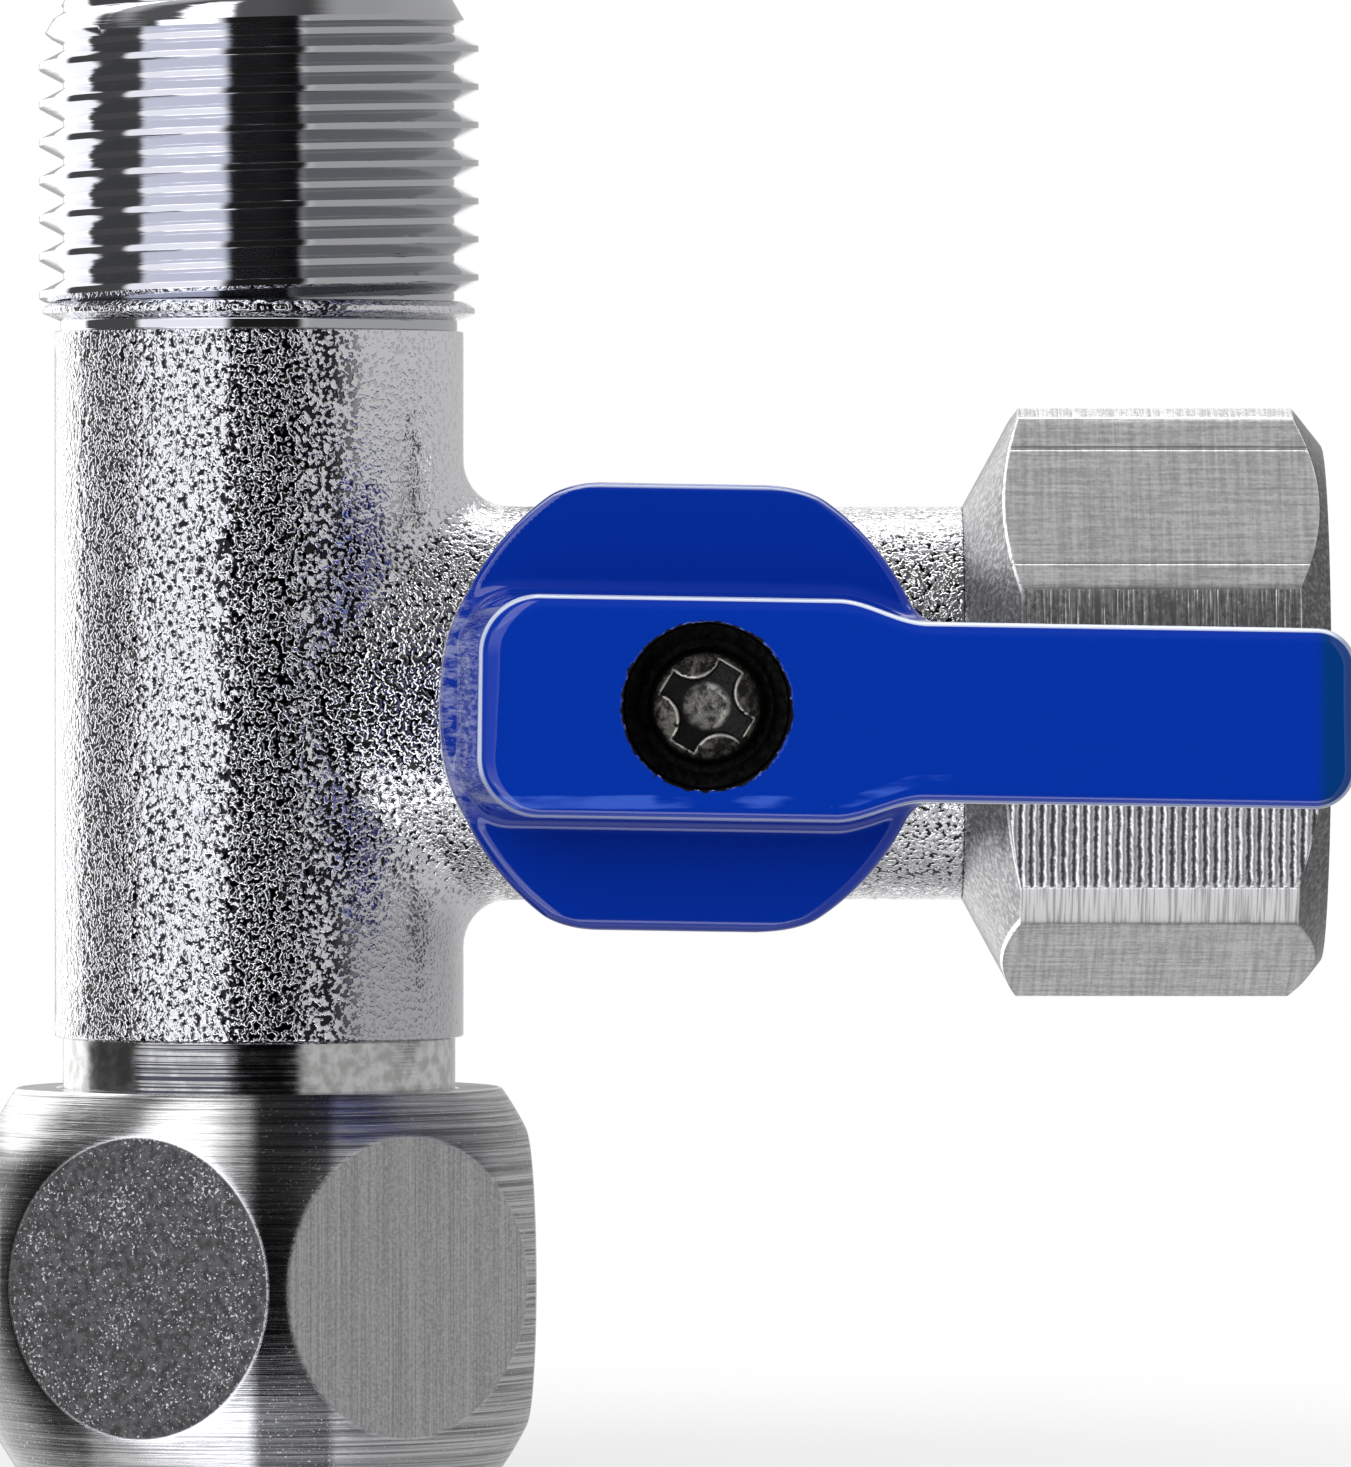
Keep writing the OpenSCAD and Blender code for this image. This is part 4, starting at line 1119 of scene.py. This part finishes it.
def enamel_finish():
    """Blue enamel that ends at the black well's ragged rim, with painted shade on the wings and the arm's
    tip.

    A pale painted highlight runs along the rib's outer edge, most where that faces up and away from
    the tip, and over the hub's upper edge. Pale painted reflections lie along the lower edge of the
    rib's face, and the rib's back is streaked and carries pale painted reflections. The gloss fades
    where it faces the tip, and is quiet at the middle of the rib's back edge and on its lower flank."""
    material, paint = painted("blue_enamel")
    where = paint.place()
    x, y, z = paint.split(where)
    nx, ny, nz = paint.split(paint.node("ShaderNodeTexCoord", out="Normal"))
    u, v, high = x - STEM_X, z - BRANCH_Z, HANDLE_HIGH[1] - y
    ragged = 0.5 * (paint.noise(where, 2.4, 3.0) - 0.5)
    rho = (u * u + v * v) ** 0.5
    well = (rho + ragged).step(WELL_R + 0.08, WELL_R + 0.14, 1.0, 0.0)
    # painted shade: the wings below the rib get a deeper blue
    wing_shade = y.step(HANDLE_HIGH[1] - RIB_H + 1.0, HANDLE_HIGH[1] - WING_H)
    speck = paint.noise(where, 7.0, 1.0).step(0.76, 0.79)
    blue = paint.colour(wing_shade, rgb(3, 53, 173), rgb(3, 47, 160))
    # painted shade: the arm's tip gets a darker, greener blue
    blue = paint.colour(u.step(LEVER_L - 2.0, LEVER_L - 1.3), blue, rgb(3, 58, 128))
    blue = paint.colour(speck * 0.4, blue, rgb(60, 96, 205))

    half = RIB_HALF - (RIB_HALF - LEVER_HALF) * u.step(*NECK)
    # painted reflection: pale blue patches along the lower edge of the rib's face
    low_edge = (v + half).within(0.55, 1.0, 0.3) * high.step(RIB_H - 0.4, RIB_H - 0.2)
    cloud = paint.noise(paint.joined(x * 0.3, y * 0.3, z * 1.2), 1.0, 3.0)
    cloud = cloud + 0.16 * u.step(-3.0, -2.0, 1.0, 0.0)
    edge_reflection = low_edge * u.step(10.0, 14.0, 1.0, 0.0) * cloud
    blue = paint.colour(0.8 * edge_reflection.step(0.44, 0.7), blue, rgb(66, 104, 214))

    # painted highlight: a pale line along the rib's outer edge, strongest where it faces up and away from
    # the tip
    brim_highlight = (-ny).within(0.05, 0.62, 0.08) * high.step(RIB_H - 0.78, RIB_H - 0.62)
    brim_highlight = brim_highlight * (nz - 0.7 * nx).step(0.1, 0.6, 0.5, 1.0)
    # painted highlight along the hub's upper edge
    crest = (-ny).within(0.62, 0.9, 0.06) * high.within(WING_H - 0.3, WING_H - 0.02, 0.03)
    # thin is the painted highlight of both edges
    thin = brim_highlight.most(crest * nz.step(0.4, 0.75))
    base = paint.colour(well, paint.colour(thin, blue, rgb(214, 224, 246)), rgb(3, 3, 4))

    back = u.step(-RIB_BACK, -RIB_BACK - 0.4)
    streaks = paint.noise(paint.joined(x * 0.7, y * 0.7, z * 6.0), 1.0, 3.0, 0.6)
    broad = paint.noise(paint.joined(x * 0.5, y * 0.5, z * 2.2), 1.0, 4.0, 0.7)
    # painted reflection: pale streaks on the rib's back
    back_reflection = back * u.step(-RIB_BACK - 0.3, -RIB_BACK - 1.3) * broad.step(0.44, 0.62)
    base = paint.colour(0.5 * back_reflection, base, rgb(186, 192, 226))
    peel = paint.noise(where, 0.9, 2.0) + 1.6 * back * streaks

    quiet = high.step(RIB_H - 0.9, RIB_H - 0.7) * nx.step(-0.3, -0.1, 1.0, 0.0) * v.within(-2.4, 2.2, 1.0)
    flank = high.within(WING_H + 0.3, RIB_H - 0.7, 0.15) * nz.step(-0.9, -0.8, 1.0, 0.0)
    quiet = quiet.most(flank)
    gloss = (1 - well) * nx.step(0.05, 0.45, 1.0, 0.25) * (1 - 0.9 * quiet)
    rough = 0.07 + 0.5 * well + 0.3 * quiet
    paint.surface(Base_Color=base, Roughness=rough, Coat_Weight=gloss, Coat_Roughness=0.03,
                  Specular_IOR_Level=0.25, Normal=paint.bump(peel, 0.012))
    return material


def black_finish():
    """Black oxide on steel, slightly oily."""
    return plain_finish("black_oxide", rgb(26, 26, 27), rgb(60, 59, 57), 0.4, 0.85, 3.0, 0.03)


def screw_finish():
    """Black oxide, grey on the head; in the recess, painted light on its middle, painted shade on its
    wings and a painted highlight on its rims.
    """
    material, paint = painted("black_screw")
    where = paint.place()
    x, y, z = paint.split(where)
    u, v = x - STEM_X, z - BRANCH_Z
    middle = ((u * u + v * v) ** 0.5).step(0.9, 1.2, 1.0, 0.0)
    sunk = (y - HANDLE_HIGH[1] + HEAD_FOOT + HEAD_H).step(0.4, 0.6)
    grain = paint.noise(where, 2.2, 3.0, 0.65)
    head = paint.colour(grain.step(0.4, 0.66), rgb(44, 43, 40), rgb(128, 125, 116))
    floor = paint.colour(grain.step(0.35, 0.6), rgb(80, 79, 76), rgb(170, 168, 162))
    # in the recess: painted light on its middle and painted shade towards its wings
    floor = paint.colour(middle, rgb(30, 30, 29), floor)
    edge = paint.node("ShaderNodeAttribute", {"attribute_name": "rim_glint"}, out="Fac")
    # painted highlight on the recess's rims
    rim = (edge * grain.step(0.3, 0.5)).step(0.1, 0.8)
    tone = paint.colour(rim, paint.colour(sunk, head, floor), rgb(226, 222, 212))
    rough = 0.28 + 0.2 * grain
    paint.surface(Base_Color=tone, Metallic=0.8, Roughness=rough, Normal=paint.bump(grain, 0.12))
    return material


def plain_finish(name, low, high, rough, metallic=0.0, scale=1.2, depth=0.01):
    """A nearly even finish: two close tones and a fine grain, of scale grains per millimetre."""
    material, paint = painted(name)
    grain = paint.noise(paint.place(), scale, 3.0, 0.6)
    base = paint.colour(grain.step(0.3, 0.7), low, high)
    rough = rough + 0.1 * (grain - 0.5)
    paint.surface(Base_Color=base, Metallic=metallic, Roughness=rough, Normal=paint.bump(grain, depth))
    return material


# ---- studio ----------------------------------------------------------------------------------

WHITE = (1.0, 1.0, 1.0, 1.0)
# the reflected room's cards: from and to which compass angle in degrees, and how bright
CARDS = ((-116, -76, 0.07), (-14, 24, 0.012), (32, 172, 0.56), (-180, -172, 0.46))
AIM_X, AIM_Z = 0.01985, 0.02745     # the camera's aim, its height above that and its distance, in metres
CAMERA_RISE = 0.007
CAMERA_Y = -0.715


def studio_world():
    """White to the camera, soft white as a light, and white walls with dark cards in the reflections.

    Near the horizon the reflected room is a function of the compass angle, 0 towards the camera and
    negative to its left. Above and below it is a function of the angle over the top, 0 towards the
    camera, 90 straight up and 180 behind: there it is grey, with a strip light behind and above the
    valve and another in front of it and below. Between the two, the front is dim, with a soft light
    high on its left and one low. The lights at the front are faintly lavender."""
    world = bpy.data.worlds.new("studio")
    bpy.context.scene.world = world
    world.use_nodes = True
    paint = Paint(world.node_tree)
    x, y, z = paint.split(paint.node("ShaderNodeTexCoord", out="Generated"))
    angle = x.maths("ARCTAN2", x, -y) * (180 / math.pi)
    over = z.maths("ARCTAN2", z, -y) * (180 / math.pi)
    walls = 1.05 + 0.35 * angle.within(-170, -122, 6)
    for low, high, shade in CARDS:
        walls = walls - (walls - shade) * angle.within(low, high, 6)
    beyond = 0.1 + 0.38 * over.step(88, 104) + 0.22 * over.step(-40, -64)
    beyond = beyond + 0.35 * over.within(-94, -74, 8)
    near_axis = abs(x).step(0.8, 0.9, 1.0, 0.0)
    beyond = beyond + 2.4 * near_axis * over.within(118, 140, 6)
    beyond = beyond + 2.2 * near_axis * over.within(-58, -46, 6)
    beyond = beyond + (0.5 - beyond) * x.step(0.35, 0.55)
    level = abs(z).step(0.36, 0.52, 1.0, 0.0)
    front = angle.within(-100, 24, 10)
    dim = 0.05 * front + walls * (1 - front)
    light = beyond + (dim - beyond) * abs(z).step(0.6, 0.75, 1.0, 0.0) + (walls - dim) * level
    soft_lights = z.within(0.42, 0.92, 0.06) + z.within(-0.66, -0.42, 0.08)
    light = light + 1.6 * angle.within(-58, -24, 6) * soft_lights
    lavender = (angle.within(-66, -18, 8) * level).most(over.within(-60, -40, 8) * (1 - level))
    hue = paint.colour(lavender, WHITE, rgb(245, 246, 253))
    path = paint.node("ShaderNodeLightPath", out="Is Camera Ray")
    outputs = path.socket.node.outputs
    mirrored = Wire(paint, outputs["Is Glossy Ray"])
    clear = path.most(Wire(paint, outputs["Is Transmission Ray"]))
    glossy = paint.node("ShaderNodeBackground", values={"Color": hue, "Strength": light})
    soft = paint.node("ShaderNodeBackground", values={"Color": WHITE, "Strength": 0.6})
    white = paint.node("ShaderNodeBackground", values={"Color": WHITE, "Strength": 1.0})
    seen = paint.node("ShaderNodeMixShader", values={0: mirrored, 1: soft, 2: glossy})
    paint.finish(paint.node("ShaderNodeMixShader", values={0: clear, 1: seen, 2: white}))


def studio_floor():
    """Pale floor: its shadow shows close to the valve, and it runs out into plain white."""
    mesh = bpy.data.meshes.new("studio_floor")
    reach, height = 4.0, NUT_LOW[2] * MM
    ring = np.array([[-reach, -reach], [reach, -reach], [reach, reach], [-reach, reach]])
    mesh.from_pydata(np.column_stack([ring, np.full(4, height)]), [], [(0, 1, 2, 3)])
    floor = bpy.data.objects.new("studio_floor", mesh)
    bpy.context.scene.collection.objects.link(floor)
    material, paint = painted("pale_floor")
    x, y, _ = paint.split(paint.place())
    far = ((x * x + y * y) ** 0.5).step(30.0, 120.0)
    white = paint.node("ShaderNodeEmission", values={"Color": WHITE, "Strength": 1.0})
    lit = paint.node("ShaderNodeBsdfDiffuse", values={"Color": (0.8, 0.8, 0.8, 1.0)})
    shown = paint.node("ShaderNodeMixShader", values={0: 0.72 + 0.28 * far, 1: lit, 2: white})
    camera = paint.node("ShaderNodeLightPath", out="Is Camera Ray")
    paint.finish(paint.node("ShaderNodeMixShader", values={0: camera, 1: lit, 2: shown}))
    floor.data.materials.append(material)
    floor.visible_glossy = False


def lamp(name, strength, spread, toward):
    """A wide sun that shines along a direction."""
    light = bpy.data.lights.new(name, "SUN")
    light.energy = strength
    light.angle = math.radians(spread)
    obj = bpy.data.objects.new(name, light)
    obj.rotation_euler = Vector(toward).to_track_quat("-Z", "Y").to_euler()
    obj.visible_glossy = False
    bpy.context.scene.collection.objects.link(obj)


def studio_camera():
    """A long lens in front of the valve, a little above the point that it aims at."""
    lens = bpy.data.cameras.new("camera")
    lens.lens = 368.0
    lens.clip_start, lens.clip_end = 0.01, 100.0
    obj = bpy.data.objects.new("camera", lens)
    obj.location = (AIM_X, CAMERA_Y, AIM_Z + CAMERA_RISE)
    obj.rotation_euler = (math.pi / 2 - math.atan2(CAMERA_RISE, -CAMERA_Y), 0, 0)
    bpy.context.scene.collection.objects.link(obj)
    bpy.context.scene.camera = obj


# ---- the scene -------------------------------------------------------------------------------


def dressed(obj, body, node, material):
    """Sets a new piece in the place of its CAD node."""
    obj.data.materials.append(material)
    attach(obj, body)
    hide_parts(node)


def finished(nodes, material):
    """Gives CAD nodes a finish."""
    for name in nodes:
        mesh = bpy.data.objects[name].data
        mesh.materials.clear()
        mesh.materials.append(material)


bpy.context.scene.view_settings.view_transform = "Standard"
studio_camera()
studio_world()
studio_floor()
lamp("key", 1.0, 50.0, (0.5, 1.0, -0.9))
lamp("fill", 0.5, 70.0, (-0.6, 0.7, -0.3))

dressed(tee_body(), "valve", "tee_body", forging_finish())
dressed(end_cap(), "valve", "end_cap", cap_finish())
dressed(inlet_tail(), "valve", "inlet_tail", turned_finish("plated_tail", 2))
dressed(swivel_nut(), "nut", "swivel_nut", nut_finish())
dressed(lever(), "handle", "handle", enamel_finish())
dressed(screw(), "handle", "handle_screw", screw_finish())
finished(["flat_washer", "spring_washer"], black_finish())
finished(["retaining_ring"],
         plain_finish("spring_steel", rgb(150, 150, 152), rgb(186, 186, 188), 0.25, 1.0))
finished(["ball"], plain_finish("polished_ball", rgb(226, 227, 231), PLATE, 0.08, 1.0, 0.4, 0.0005))
finished(["stem"], plain_finish("plain_brass", rgb(196, 160, 84), rgb(214, 180, 100), 0.3, 1.0))
finished(["inner_seat", "outer_seat", "thrust_washer"],
         plain_finish("white_ptfe", rgb(226, 226, 222), rgb(238, 238, 235), 0.5))
finished(["cap_o_ring", "lower_stem_o_ring", "upper_stem_o_ring", "tail_o_ring", "gasket_washer"],
         plain_finish("black_rubber", rgb(22, 22, 23), rgb(32, 32, 33), 0.6))
